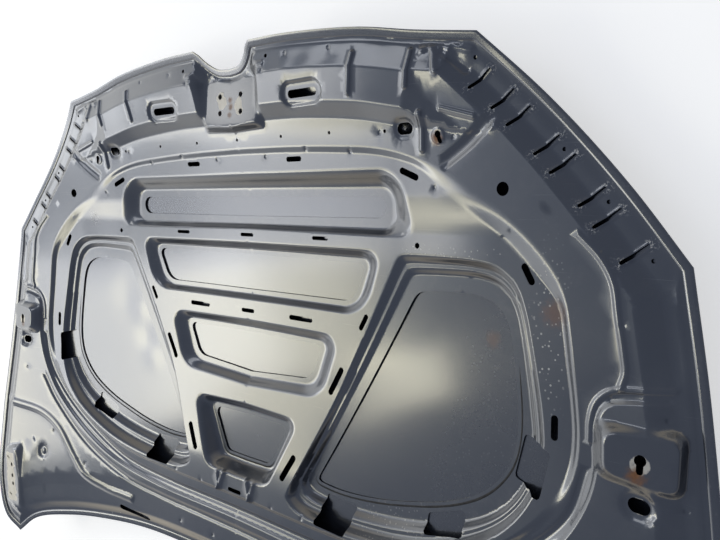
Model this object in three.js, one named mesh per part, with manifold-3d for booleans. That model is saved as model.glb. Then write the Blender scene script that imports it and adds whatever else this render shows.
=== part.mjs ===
import * as THREE from 'three';
import Module from 'manifold-3d';

const wasm = await Module();
wasm.setup();

// Driving sizes in mm: x across the bonnet, y towards the front edge, z up, inner side facing up
const SKIN_THICKNESS = 0.8;
const FRAME_THICKNESS = 0.8;
const HEM_CLEARANCE = 0.5;
const SEAT_CLEARANCE = 0.3;
const HEM_WIDTH = 11;
const EDGE_FLANGE = 13;
const FRAME_FLANGE_LEVEL = SKIN_THICKNESS + HEM_CLEARANCE;
const FLANGE_GAP = 2.7;
const POCKET_LEVEL = SKIN_THICKNESS + FLANGE_GAP;
const SAMPLE_STEP = 28;
const POINT_SPACING = 7;

// Crown of the outer skin
const CROWN_ALONG = 0.136e-3;
const CROWN_ACROSS = 0.1106e-3;
const CROWN_SIDES = 4.5e-11;
const NOSE_START = 255;
const NOSE_LENGTH = 245;
const NOSE_RISE = 52;
const TAIL_START = -50;
const TAIL_CURVE = 0.06e-3;

// Edge of the bonnet, right half, from the notch round to the middle of the rear edge
const NOTCH_EDGE = [[0, 462], [25, 465], [45, 477], [57, 489], [66, 495]];
const FRONT_EDGE = [[66, 495], [150, 493], [280, 481], [370, 464], [459, 449]];
const LAMP_EDGE = [[459, 449], [545, 367], [637, 267], [703, 185]];
const WING_EDGE = [[703, 185], [729, 38], [757, -170], [762, -262], [752, -400], [712, -480], [656, -507]];
const REAR_EDGE = [[656, -507], [612, -470], [501, -437], [372, -414], [248, -400], [0, -393]];

// Height of the inner frame above the skin against the distance from each edge
const FRONT_PROFILE = [[0, 1.3], [14, 1.3], [20, 6], [55, 24], [102, 34], [124, 24], [2000, 24]];
const LAMP_PROFILE = [[0, 1.3], [14, 1.3], [18, 4], [42, 4], [62, 24], [2000, 24]];
const WING_PROFILE = [[0, 1.3], [14, 1.3], [20, 5], [32, 6], [60, 24], [2000, 24]];
const REAR_PROFILE = [[0, 1.3], [14, 1.3], [22, 6], [34, 14], [70, 18], [125, 32], [2000, 36]];

// Step from the outer land down to the ring, as rounded corners [x, y, radius]
const RING_EDGE = [[0, 337, 0], [230, 331, 200], [420, 280, 200], [585, 165, 110], [598, -60, 60],
  [500, -205, 120], [320, -262, 150], [0, -266, 0]];
const RING_STEP_WIDTH = 11;

// Pockets: rim on the land, toe and cut edge low over the skin
const POCKETS = [
  { name: 'long_slot', whole: true,
    rim: [[0, 298, 0], [292, 293, 42], [352, 248, 20], [336, 204, 12], [0, 205, 0]],
    toe: [[0, 272, 0], [306, 271, 24], [308, 212, 18], [0, 213, 0]],
    cut: [[0, 260, 0], [293, 259, 16], [293, 227, 16], [0, 226, 0]] },
  { name: 'front_trapezoid', whole: true,
    rim: [[0, 182, 0], [292, 181, 20], [262, 82, 60], [0, 82, 0]],
    toe: [[0, 169, 0], [266, 168, 14], [236, 91, 42], [0, 91, 0]],
    cut: [[0, 161, 0], [256, 160, 10], [228, 100, 34], [0, 99, 0]] },
  { name: 'middle_trapezoid', whole: true,
    rim: [[0, 48, 0], [212, 46, 24], [176, -60, 50], [0, -68, 0]],
    toe: [[0, 33, 0], [177, 32, 12], [151, -44, 36], [0, -54, 0]],
    cut: [[0, 25, 0], [167, 24, 9], [140, -35, 28], [0, -46, 0]] },
  { name: 'rear_trapezoid', whole: true,
    rim: [[0, -98, 0], [134, -102, 18], [78, -224, 30], [0, -226, 0]],
    toe: [[0, -114, 0], [106, -116, 12], [62, -206, 20], [0, -208, 0]],
    cut: [[0, -122, 0], [94, -124, 10], [54, -198, 14], [0, -199, 0]] },
  { name: 'side', whole: false,
    rim: [[322, 179, 26], [505, 176, 34], [553, -60, 60], [490, -196, 90], [215, -256, 60], [120, -212, 26]],
    toe: [[338, 142, 18], [488, 140, 34], [522, -55, 70], [455, -150, 80], [205, -210, 40], [140, -196, 16]],
    cut: [[345, 131, 14], [477, 129, 30], [511, -52, 66], [449, -141, 74], [207, -200, 34], [160, -194, 14]] },
];

// Round and long holes: [x, y, length, width, turn in degrees]; mirrored when x is not zero
const SLOTS = [
  [167, 408, 58, 12, 0], [123, 316, 33, 8, 0], [345, 287, 34, 9, -22], [524, 165, 28, 9, -60],
  [565, -11, 30, 9, -88], [169, 194, 34, 6, 0], [0, 194, 32, 6, 0], [126, 63, 52, 8, 0],
  [0, 63, 32, 7, 0], [258, 73, 28, 8, 61], [205, -25, 52, 10, 61], [121, -180, 52, 11, 61],
  [0, -250, 33, 7, 0], [292, -376, 84, 11, 4], [343, 346, 26, 15, 0], [397, 332, 20, 9, 70],
  [667, -67, 24, 16, 0], [700, -344, 12, 4, 20], [690, -428, 12, 4, 20],
];
const ROUND_HOLES = [
  [490, 265, 8.5], [355, 191, 4], [103, 351, 2.5], [205, 350, 2.5], [0, 351, 2.5], [100, 468, 3],
  [452, 421, 2.5], [561, 309, 2.5], [614, 250, 2.5], [664, 189, 2.5],
];
const LAMP_SLITS = [[458, 396], [487, 370], [507, 349], [542, 314], [562, 292], [597, 255], [615, 232], [646, 195]];
const SLIT_LENGTH = 34;
const SLIT_WIDTH = 3.5;
const SLIT_TURN = 37;

// Windows punched in the wall of the ring
const WINDOWS = [
  [[562, -42], [522, -31], [510, -89], [552, -102]],
  [[382, -178], [440, -156], [445, -188], [380, -206]],
  [[190, -208], [252, -210], [250, -250], [185, -250]],
];

// Latch recess at the front, a level pad with four bolt holes
const LATCH_PAD = [[0, 436, 0], [40, 438, 8], [44, 378, 8], [0, 374, 0]];
const LATCH_RIM = [[0, 446, 0], [52, 452, 14], [68, 368, 10], [0, 362, 0]];
const LATCH_SKIN_GAP = 3.9;
const LATCH_BOLTS = [[-25, 421], [25, 421], [-25, 394], [25, 394]];
const LATCH_BOLT_RADIUS = 4.5;

// Hinge pads at the rear corners, level pads with three bolt holes
const HINGE_PAD = [[672, -322, 10], [715, -330, 10], [704, -444, 10], [650, -442, 10]];
const HINGE_RIM = [[655, -300, 16], [727, -318, 12], [709, -454, 12], [634, -458, 16]];
const HINGE_SKIN_GAP = 4.9;
const HINGE_BOLTS = [[684, -358], [681, -383], [678, -401]];
const HINGE_BOLT_RADIUS = 4.5;

// Stud pads round the keyholes
const SIDE_PAD = [[638, 13, 12], [696, 16, 12], [698, -44, 14], [640, -46, 14]];
const SIDE_RIM = [[622, 26, 14], [708, 30, 14], [708, -92, 16], [624, -94, 16]];
const SIDE_SKIN_GAP = 20.87;
const SIDE_KEYHOLE = [668, -20, 26, 12, 90];

// Ribs: [x0, y0, x1, y1, half width, height], mirrored
const RIBS = [
  [363, 438, 356, 378, 9, 6], [269, 449, 258, 388, 9, 6], [372, 358, 370, 322, 8, 5],
  [470, 345, 415, 300, 10, -5], [600, 60, 628, 178, 8, -5], [0, -286, 330, -288, 7, -5],
  [0, -318, 300, -322, 7, -5],
];

// Reinforcements and fixings
const LATCH_PLATE = [[0, 431, 0], [35, 431, 6], [35, 384, 6], [0, 384, 0]];
const LATCH_PLATE_THICKNESS = 1.5;
const NUT_RADIUS = 8;
const NUT_BORE = 4.3;
const NUT_HEIGHT = 6;
const HINGE_PLATE = [[671, -332, 6], [711, -338, 6], [702, -442, 6], [655, -438, 6]];
const HINGE_PLATE_THICKNESS = 2;
const STUD_PLATE = [[645, 6, 6], [691, 8, 6], [691, -38, 6], [646, -38, 6]];
const STUD_PLATE_THICKNESS = 1.2;
const BEAD_WIDTH = 5;
const BEAD_STEP = 34;

const PAINT = new THREE.MeshStandardMaterial({ color: 0x59606d, metalness: 0.35, roughness: 0.3 });
const SHOW_PAINT = new THREE.MeshStandardMaterial({ color: 0x3a404c, metalness: 0.4, roughness: 0.25 });
const BARE_STEEL = new THREE.MeshStandardMaterial({ color: 0xb9b3a6, metalness: 0.8, roughness: 0.5 });
const NUT_STEEL = new THREE.MeshStandardMaterial({ color: 0x8a8d92, metalness: 0.9, roughness: 0.4 });
const MASTIC = new THREE.MeshStandardMaterial({ color: 0x2b2b2c, metalness: 0, roughness: 0.9 });

const clamp01 = (value) => Math.min(1, Math.max(0, value));
const smooth = (value) => clamp01(value) ** 2 * (3 - 2 * clamp01(value));
const lerp = (a, b, t) => a + (b - a) * t;

// Underside of the skin, the show side that lies on the floor
function skinHeight(x, y) {
  const nose = NOSE_RISE * clamp01((y - NOSE_START) / NOSE_LENGTH) ** 2.5;
  const tail = TAIL_CURVE * Math.min(0, y - TAIL_START) ** 2;
  return CROWN_ALONG * y * y + CROWN_ACROSS * x * x + CROWN_SIDES * x ** 4 + nose + tail;
}

// Levels of the pads, each high enough for what sits between it and the skin
const latchSkin = skinHeight(LATCH_BOLTS[1][0], LATCH_BOLTS[1][1] + NUT_RADIUS) + SKIN_THICKNESS;
const LATCH_LEVEL = latchSkin + LATCH_SKIN_GAP + NUT_HEIGHT + LATCH_PLATE_THICKNESS + 2 * SEAT_CLEARANCE;
const hingeSkin = skinHeight(HINGE_PAD[2][0], HINGE_PAD[2][1]) + SKIN_THICKNESS;
const HINGE_LEVEL = hingeSkin + HINGE_SKIN_GAP + HINGE_PLATE_THICKNESS + SEAT_CLEARANCE;
const sideSkin = skinHeight(SIDE_PAD[2][0], SIDE_PAD[2][1]) + SKIN_THICKNESS;
const SIDE_LEVEL = sideSkin + SIDE_SKIN_GAP + STUD_PLATE_THICKNESS + SEAT_CLEARANCE;

// Evenly spaced points on a smooth curve through the given points
function curve(points, step) {
  const line = new THREE.CatmullRomCurve3(points.map(([x, y]) => new THREE.Vector3(x, y, 0)), false, 'centripetal');
  const count = Math.max(1, Math.round(line.getLength() / step));
  return line.getSpacedPoints(count).map((p) => [p.x, p.y]);
}

// Straight runs with rounded corners, cut into steps
function rounded(corners, step, closed) {
  const path = [];
  const total = corners.length;
  const add = (x, y) => path.push([x, y]);
  corners.forEach(([x, y, radius], i) => {
    if (!closed && (i === 0 || i === total - 1)) {
      add(x, y);
      return;
    }
    const [ax, ay] = corners[(i + total - 1) % total];
    const [bx, by] = corners[(i + 1) % total];
    const la = Math.hypot(ax - x, ay - y);
    const lb = Math.hypot(bx - x, by - y);
    const ua = [(ax - x) / la, (ay - y) / la];
    const ub = [(bx - x) / lb, (by - y) / lb];
    const half = Math.acos(ua[0] * ub[0] + ua[1] * ub[1]) / 2;
    const back = Math.min(radius / Math.tan(half), la * 0.49, lb * 0.49);
    const real = back * Math.tan(half);
    const bis = [ua[0] + ub[0], ua[1] + ub[1]];
    const bl = Math.hypot(...bis);
    const reach = Math.hypot(back, real);
    const cx = x + bis[0] / bl * reach;
    const cy = y + bis[1] / bl * reach;
    const start = Math.atan2(y + ua[1] * back - cy, x + ua[0] * back - cx);
    let sweep = Math.atan2(y + ub[1] * back - cy, x + ub[0] * back - cx) - start;
    sweep -= 2 * Math.PI * Math.round(sweep / (2 * Math.PI));
    const parts = Math.max(1, Math.ceil(Math.abs(sweep) * real / step), Math.ceil(Math.abs(sweep) / 0.7));
    for (let k = 0; k <= parts; k += 1) {
      add(cx + real * Math.cos(start + sweep * k / parts), cy + real * Math.sin(start + sweep * k / parts));
    }
  });
  const line = [];
  const last = closed ? path.length : path.length - 1;
  for (let i = 0; i < last; i += 1) {
    const [x0, y0] = path[i];
    const [x1, y1] = path[(i + 1) % path.length];
    const parts = Math.max(1, Math.round(Math.hypot(x1 - x0, y1 - y0) / step));
    for (let k = 0; k < parts; k += 1) {
      line.push([lerp(x0, x1, k / parts), lerp(y0, y1, k / parts)]);
    }
  }
  if (!closed) {
    line.push(path[path.length - 1]);
  }
  return line;
}

function distanceToLine(line, x, y, closed = false) {
  let best = Infinity;
  const last = closed ? line.length : line.length - 1;
  for (let i = 0; i < last; i += 1) {
    const [x0, y0] = line[i];
    const [x1, y1] = line[(i + 1) % line.length];
    const dx = x1 - x0;
    const dy = y1 - y0;
    const t = clamp01(((x - x0) * dx + (y - y0) * dy) / (dx * dx + dy * dy + 1e-12));
    best = Math.min(best, Math.hypot(x - x0 - dx * t, y - y0 - dy * t));
  }
  return best;
}

function inside(loop, x, y) {
  let hit = false;
  for (let i = 0, j = loop.length - 1; i < loop.length; j = i, i += 1) {
    const [xi, yi] = loop[i];
    const [xj, yj] = loop[j];
    if ((yi > y) !== (yj > y) && x < (xj - xi) * (y - yi) / (yj - yi) + xi) {
      hit = !hit;
    }
  }
  return hit;
}

const mirrorLoop = (half) => half.concat(half.slice().reverse().filter(([x]) => x > 1e-6).map(([x, y]) => [-x, y]));

// Edge lines of the right half
const notchLine = curve(NOTCH_EDGE, 12);
const frontLine = curve(FRONT_EDGE, SAMPLE_STEP);
const lampLine = curve(LAMP_EDGE, SAMPLE_STEP);
const wingLine = curve(WING_EDGE, SAMPLE_STEP);
const rearLine = curve(REAR_EDGE, SAMPLE_STEP);
const edgeHalf = [notchLine, frontLine, lampLine, wingLine, rearLine].flatMap((line, i) => (i ? line.slice(1) : line));
const edgeLoop = mirrorLoop(edgeHalf);

// The edge moved inwards by a distance, same number of points
function insetLoop(loop, distance) {
  const total = loop.length;
  return loop.map(([x, y], i) => {
    const [ax, ay] = loop[(i + total - 1) % total];
    const [bx, by] = loop[(i + 1) % total];
    const la = Math.hypot(x - ax, y - ay);
    const lb = Math.hypot(bx - x, by - y);
    const na = [(y - ay) / la, -(x - ax) / la];
    const nb = [(by - y) / lb, -(bx - x) / lb];
    const mid = [na[0] + nb[0], na[1] + nb[1]];
    const scale = 2 / (mid[0] * mid[0] + mid[1] * mid[1]);
    return [x + mid[0] * scale * distance, y + mid[1] * scale * distance];
  });
}

const clockwise = THREE.ShapeUtils.isClockWise(edgeLoop.map(([x, y]) => new THREE.Vector2(x, y)));
const inward = clockwise ? 1 : -1;
const insetEdge = (distance) => insetLoop(edgeLoop, distance * inward);

function profileHeight(profile, distance) {
  for (let i = 1; i < profile.length; i += 1) {
    const [d0, h0] = profile[i - 1];
    const [d1, h1] = profile[i];
    if (distance <= d1) {
      return lerp(h0, h1, (distance - d0) / (d1 - d0));
    }
  }
  return profile[profile.length - 1][1];
}

const ringHalf = rounded(RING_EDGE, SAMPLE_STEP, false);
const ringLoop = mirrorLoop(ringHalf);
const loopOf = (corners, whole) => (whole ? mirrorLoop(rounded(corners, 8, false)) : rounded(corners, 8, true));
const pockets = POCKETS.map((pocket) => ({
  ...pocket,
  rimLoop: loopOf(pocket.rim, pocket.whole),
  toeLoop: loopOf(pocket.toe, pocket.whole),
  cutLoop: loopOf(pocket.cut, pocket.whole),
}));
const pads = [
  { rim: loopOf(LATCH_RIM, true), floor: loopOf(LATCH_PAD, true), level: LATCH_LEVEL },
  { rim: loopOf(HINGE_RIM, false), floor: loopOf(HINGE_PAD, false), level: HINGE_LEVEL },
  { rim: loopOf(SIDE_RIM, false), floor: loopOf(SIDE_PAD, false), level: SIDE_LEVEL },
];
const frontReach = notchLine.slice(0, -1).concat(frontLine);

// Share of the way from a rim loop (0) to a floor loop (1)
function share(rim, floor, x, y) {
  if (!inside(rim, x, y)) {
    return 0;
  }
  if (inside(floor, x, y)) {
    return 1;
  }
  const out = distanceToLine(rim, x, y, true);
  const away = distanceToLine(floor, x, y, true);
  return out / (out + away + 1e-9);
}

function ribHeight(x, y) {
  let total = 0;
  for (const [x0, y0, x1, y1, half, height] of RIBS) {
    const away = distanceToLine([[x0, y0], [x1, y1]], x, y);
    total += height * (1 - smooth(away / half));
  }
  return total;
}

// Height of the land inside the ring above the skin
function landLevel(x, y) {
  const front = 6 * smooth((y - 205) / 60);
  const side = 4 * smooth((x - 320) / 160);
  const rear = 18 * smooth((-y - 30) / 200);
  return Math.min(15 + front + side + rear, 33);
}

// Skin height on its own facets, so that what lies on the skin follows them
function skinFacet(x, y) {
  const px = Math.abs(x);
  for (const [a, b, c] of skinHalf.faces) {
    const [ax, ay, az] = a;
    const det = (b[0] - ax) * (c[1] - ay) - (b[1] - ay) * (c[0] - ax);
    const u = ((px - ax) * (c[1] - ay) - (y - ay) * (c[0] - ax)) / det;
    const v = ((b[0] - ax) * (y - ay) - (b[1] - ay) * (px - ax)) / det;
    if (u >= -1e-6 && v >= -1e-6 && u + v <= 1 + 1e-6) {
      return az + u * (b[2] - az) + v * (c[2] - az);
    }
  }
  return skinHeight(x, y);
}

// Underside of the inner frame in absolute height
function frameHeight(xSigned, y) {
  const x = Math.abs(xSigned);
  const skin = skinFacet(x, y);
  const edge = distanceToLine(edgeHalf, x, y);
  let rise = Math.min(
    profileHeight(FRONT_PROFILE, distanceToLine(frontReach, x, y)),
    profileHeight(LAMP_PROFILE, distanceToLine(lampLine, x, y)),
    profileHeight(WING_PROFILE, distanceToLine(wingLine, x, y)),
    profileHeight(REAR_PROFILE, distanceToLine(rearLine, x, y)),
  );
  if (inside(ringLoop, x, y)) {
    const step = clamp01(distanceToLine(ringLoop, x, y, true) / RING_STEP_WIDTH);
    rise = lerp(rise, landLevel(x, y), step);
  }
  for (const pocket of pockets) {
    rise = lerp(rise, POCKET_LEVEL, share(pocket.rimLoop, pocket.toeLoop, x, y));
  }
  if (edge > EDGE_FLANGE + 2) {
    rise += ribHeight(x, y) * smooth((edge - EDGE_FLANGE) / 12);
  }
  let height = skin + Math.max(FRAME_FLANGE_LEVEL, rise);
  for (const pad of pads) {
    height = lerp(height, pad.level, share(pad.rim, pad.floor, x, y) * smooth((edge - EDGE_FLANGE - 2) / 4));
  }
  return height;
}

// Triangles between scattered points, largest empty circles first
function triangulate(points) {
  const far = 1e5;
  const all = points.concat([[-far, -far], [far * 2, -far], [-far, far * 2]]);
  const total = points.length;
  const circle = (a, b, c) => {
    const [ax, ay] = all[a];
    const bx = all[b][0] - ax;
    const by = all[b][1] - ay;
    const cx = all[c][0] - ax;
    const cy = all[c][1] - ay;
    const d = 2 * (bx * cy - by * cx);
    const ux = (cy * (bx * bx + by * by) - by * (cx * cx + cy * cy)) / d;
    const uy = (bx * (cx * cx + cy * cy) - cx * (bx * bx + by * by)) / d;
    return { v: [a, b, c], x: ax + ux, y: ay + uy, r: ux * ux + uy * uy };
  };
  let faces = [circle(total, total + 1, total + 2)];
  points.forEach(([px, py], index) => {
    const edges = new Map();
    faces = faces.filter((face) => {
      if ((px - face.x) ** 2 + (py - face.y) ** 2 > face.r * (1 + 1e-10)) {
        return true;
      }
      face.v.forEach((from, k) => {
        const to = face.v[(k + 1) % 3];
        const key = from < to ? `${from}_${to}` : `${to}_${from}`;
        if (edges.has(key)) {
          edges.set(key, null);
        } else {
          edges.set(key, [from, to]);
        }
      });
      return false;
    });
    edges.forEach((edge) => {
      if (edge) {
        faces.push(circle(edge[0], edge[1], index));
      }
    });
  });
  return faces.map((face) => face.v).filter((v) => v.every((i) => i < total)).map(([a, b, c]) => {
    const area = (all[b][0] - all[a][0]) * (all[c][1] - all[a][1])
      - (all[b][1] - all[a][1]) * (all[c][0] - all[a][0]);
    return area > 0 ? [a, b, c] : [a, c, b];
  });
}

// Point set of a half panel that keeps its points apart
class PointSet {
  constructor() {
    this.points = [];
  }

  add(line, spacing = POINT_SPACING) {
    for (const [px, y] of line) {
      const x = px < 3.5 ? 0 : px;
      if (px > -0.5 && this.points.every(([qx, qy]) => Math.hypot(qx - x, qy - y) > spacing)) {
        this.points.push([x, y]);
      }
    }
  }

  // Triangles of the half inside the outline and outside the holes, with their mirror
  panel(outline, holes) {
    const half = triangulate(this.points).filter(([a, b, c]) => {
      const x = (this.points[a][0] + this.points[b][0] + this.points[c][0]) / 3;
      const y = (this.points[a][1] + this.points[b][1] + this.points[c][1]) / 3;
      return inside(outline, x, y) && !holes.some((hole) => inside(hole, x, y));
    });
    const points = this.points.slice();
    const twin = this.points.map(([x, y], i) => {
      if (x === 0) {
        return i;
      }
      points.push([-x, y]);
      return points.length - 1;
    });
    const faces = half.concat(half.map(([a, b, c]) => [twin[a], twin[c], twin[b]]));
    return { points, faces };
  }
}

// A closed sheet between two height functions over a panel
function sheet(panel, bottom, top) {
  const used = new Map();
  const plan = [];
  panel.faces.flat().forEach((i) => {
    if (!used.has(i)) {
      used.set(i, plan.length);
      plan.push(panel.points[i]);
    }
  });
  const faces = panel.faces.map((face) => face.map((i) => used.get(i)));
  const count = plan.length;
  const vertices = [];
  plan.forEach(([x, y]) => vertices.push(x, y, bottom(x, y)));
  plan.forEach(([x, y]) => vertices.push(x, y, top(x, y)));
  const triangles = [];
  const border = new Map();
  faces.forEach(([a, b, c]) => {
    triangles.push(a, c, b, a + count, b + count, c + count);
    [[a, b], [b, c], [c, a]].forEach(([from, to]) => {
      if (border.has(`${to}_${from}`)) {
        border.delete(`${to}_${from}`);
      } else {
        border.set(`${from}_${to}`, [from, to]);
      }
    });
  });
  border.forEach(([from, to]) => {
    triangles.push(from, to, to + count, from, to + count, from + count);
  });
  return { vertices, triangles };
}

// An upright prism over a plan outline
function prism(outline, low, high) {
  const shape = outline.map(([x, y]) => new THREE.Vector2(x, y));
  const loop = THREE.ShapeUtils.isClockWise(shape) ? outline.slice().reverse() : outline;
  const faces = THREE.ShapeUtils.triangulateShape(loop.map(([x, y]) => new THREE.Vector2(x, y)), []);
  const count = loop.length;
  const vertices = [];
  loop.forEach(([x, y]) => vertices.push(x, y, low));
  loop.forEach(([x, y]) => vertices.push(x, y, high));
  const triangles = [];
  faces.forEach(([a, b, c]) => triangles.push(a, c, b, a + count, b + count, c + count));
  for (let i = 0; i < count; i += 1) {
    const j = (i + 1) % count;
    triangles.push(i, j, j + count, i, j + count, i + count);
  }
  return { vertices, triangles };
}

function solid({ vertices, triangles }) {
  return new wasm.Manifold(new wasm.Mesh({
    numProp: 3,
    vertProperties: new Float32Array(vertices),
    triVerts: new Uint32Array(triangles),
  }));
}

function surface(body) {
  const mesh = body.getMesh();
  return { vertices: Array.from(mesh.vertProperties), triangles: Array.from(mesh.triVerts) };
}

function longHole([x, y, length, width, turn], steps = 2) {
  const angle = turn * Math.PI / 180;
  const radius = width / 2;
  const run = Math.max(0, length / 2 - radius);
  const points = [];
  [1, -1].forEach((side) => {
    for (let k = 0; k <= steps; k += 1) {
      const a = side > 0 ? -Math.PI / 2 + Math.PI * k / steps : Math.PI / 2 + Math.PI * k / steps;
      const u = side * run + radius * Math.cos(a);
      const v = radius * Math.sin(a);
      points.push([x + u * Math.cos(angle) - v * Math.sin(angle), y + u * Math.sin(angle) + v * Math.cos(angle)]);
    }
  });
  return points;
}

function circle(x, y, radius, sides) {
  return Array.from({ length: sides }, (_, k) => {
    const a = 2 * Math.PI * (k + 0.5) / sides;
    return [x + radius * Math.cos(a), y + radius * Math.sin(a)];
  });
}

const flip = (outline) => outline.map(([x, y]) => [-x, y]);
const bothSides = (outlines) => outlines.flatMap((outline) => {
  const middle = outline.reduce((sum, [x]) => sum + x, 0) / outline.length;
  return Math.abs(middle) < 1 ? [outline] : [outline, flip(outline)];
});

const SHIFT_Y = -(495 + -507) / 2;
const group = new THREE.Group();
group.name = 'car_bonnet';

function place(name, { vertices, triangles }, material) {
  const geometry = new THREE.BufferGeometry();
  geometry.setAttribute('position', new THREE.Float32BufferAttribute(vertices, 3));
  geometry.setIndex(triangles);
  geometry.translate(0, SHIFT_Y, 0);
  geometry.computeVertexNormals();
  const mesh = new THREE.Mesh(geometry, material);
  mesh.name = name;
  group.add(mesh);
}

// Plan triangles of the skin
function skinPanel() {
  const set = new PointSet();
  set.add(edgeHalf, 1);
  [EDGE_FLANGE, 30, 55].forEach((distance) => {
    set.add(insetEdge(distance).filter(([x, y]) => x >= 0 && distanceToLine(edgeHalf, x, y) > distance - 1
      && (y > 0 || distance < 50)), distance < 20 ? 9 : 18);
  });
  for (let y = -500; y < 500; y += 80) {
    for (let x = 0; x < 770; x += 80) {
      if (inside(edgeLoop, x + 0.01, y) && distanceToLine(edgeHalf, x, y) > 20) {
        set.add([[x, y]], 38);
      }
    }
  }
  return set.panel(edgeLoop, []);
}

const skinPlan = skinPanel();
const skinHalf = {
  faces: skinPlan.faces.filter((face) => face.every((i) => skinPlan.points[i][0] >= 0))
    .map((face) => face.map((i) => [...skinPlan.points[i], skinHeight(...skinPlan.points[i])])),
};

// Outer skin: crowned sheet with its edge folded back over the frame
function outerSkin() {
  const panel = skinPlan;
  const wall = SKIN_THICKNESS + 0.2;
  const innerEdge = insetEdge(wall);
  const lip = insetEdge(HEM_WIDTH);
  const underLip = FRAME_FLANGE_LEVEL + FRAME_THICKNESS + HEM_CLEARANCE;
  const overLip = underLip + SKIN_THICKNESS;
  const keyOf = ([x, y]) => `${x.toFixed(3)}_${y.toFixed(3)}`;
  const order = new Map(edgeLoop.map((point, i) => [keyOf(point), i]));
  const count = panel.points.length;
  const ring = edgeLoop.length;
  const vertices = [];
  const indexOfEdge = new Array(ring);
  panel.points.forEach((point, i) => {
    const at = order.get(keyOf(point));
    if (at !== undefined) {
      indexOfEdge[at] = i;
    }
    vertices.push(point[0], point[1], skinHeight(point[0], point[1]));
  });
  panel.points.forEach((point) => {
    const at = order.get(keyOf(point));
    const [x, y] = at === undefined ? point : innerEdge[at];
    vertices.push(x, y, skinHeight(x, y) + SKIN_THICKNESS);
  });
  const loops = [
    [innerEdge, underLip], [lip, underLip], [lip, overLip], [edgeLoop, overLip],
  ];
  loops.forEach(([line, up]) => line.forEach(([x, y]) => vertices.push(x, y, skinHeight(x, y) + up)));
  const rows = [
    Array.from({ length: ring }, (_, i) => indexOfEdge[i] + count),
    ...loops.map((_, k) => Array.from({ length: ring }, (__, i) => 2 * count + k * ring + i)),
    Array.from({ length: ring }, (_, i) => indexOfEdge[i]),
  ];
  const triangles = [];
  panel.faces.forEach(([a, b, c]) => triangles.push(a, c, b, a + count, b + count, c + count));
  for (let k = 0; k + 1 < rows.length; k += 1) {
    for (let i = 0; i < ring; i += 1) {
      const j = (i + 1) % ring;
      const quad = [rows[k][i], rows[k][j], rows[k + 1][j], rows[k + 1][i]];
      if (clockwise) {
        triangles.push(quad[0], quad[1], quad[2], quad[0], quad[2], quad[3]);
      } else {
        triangles.push(quad[0], quad[2], quad[1], quad[0], quad[3], quad[2]);
      }
    }
  }
  return { vertices, triangles };
}

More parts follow.
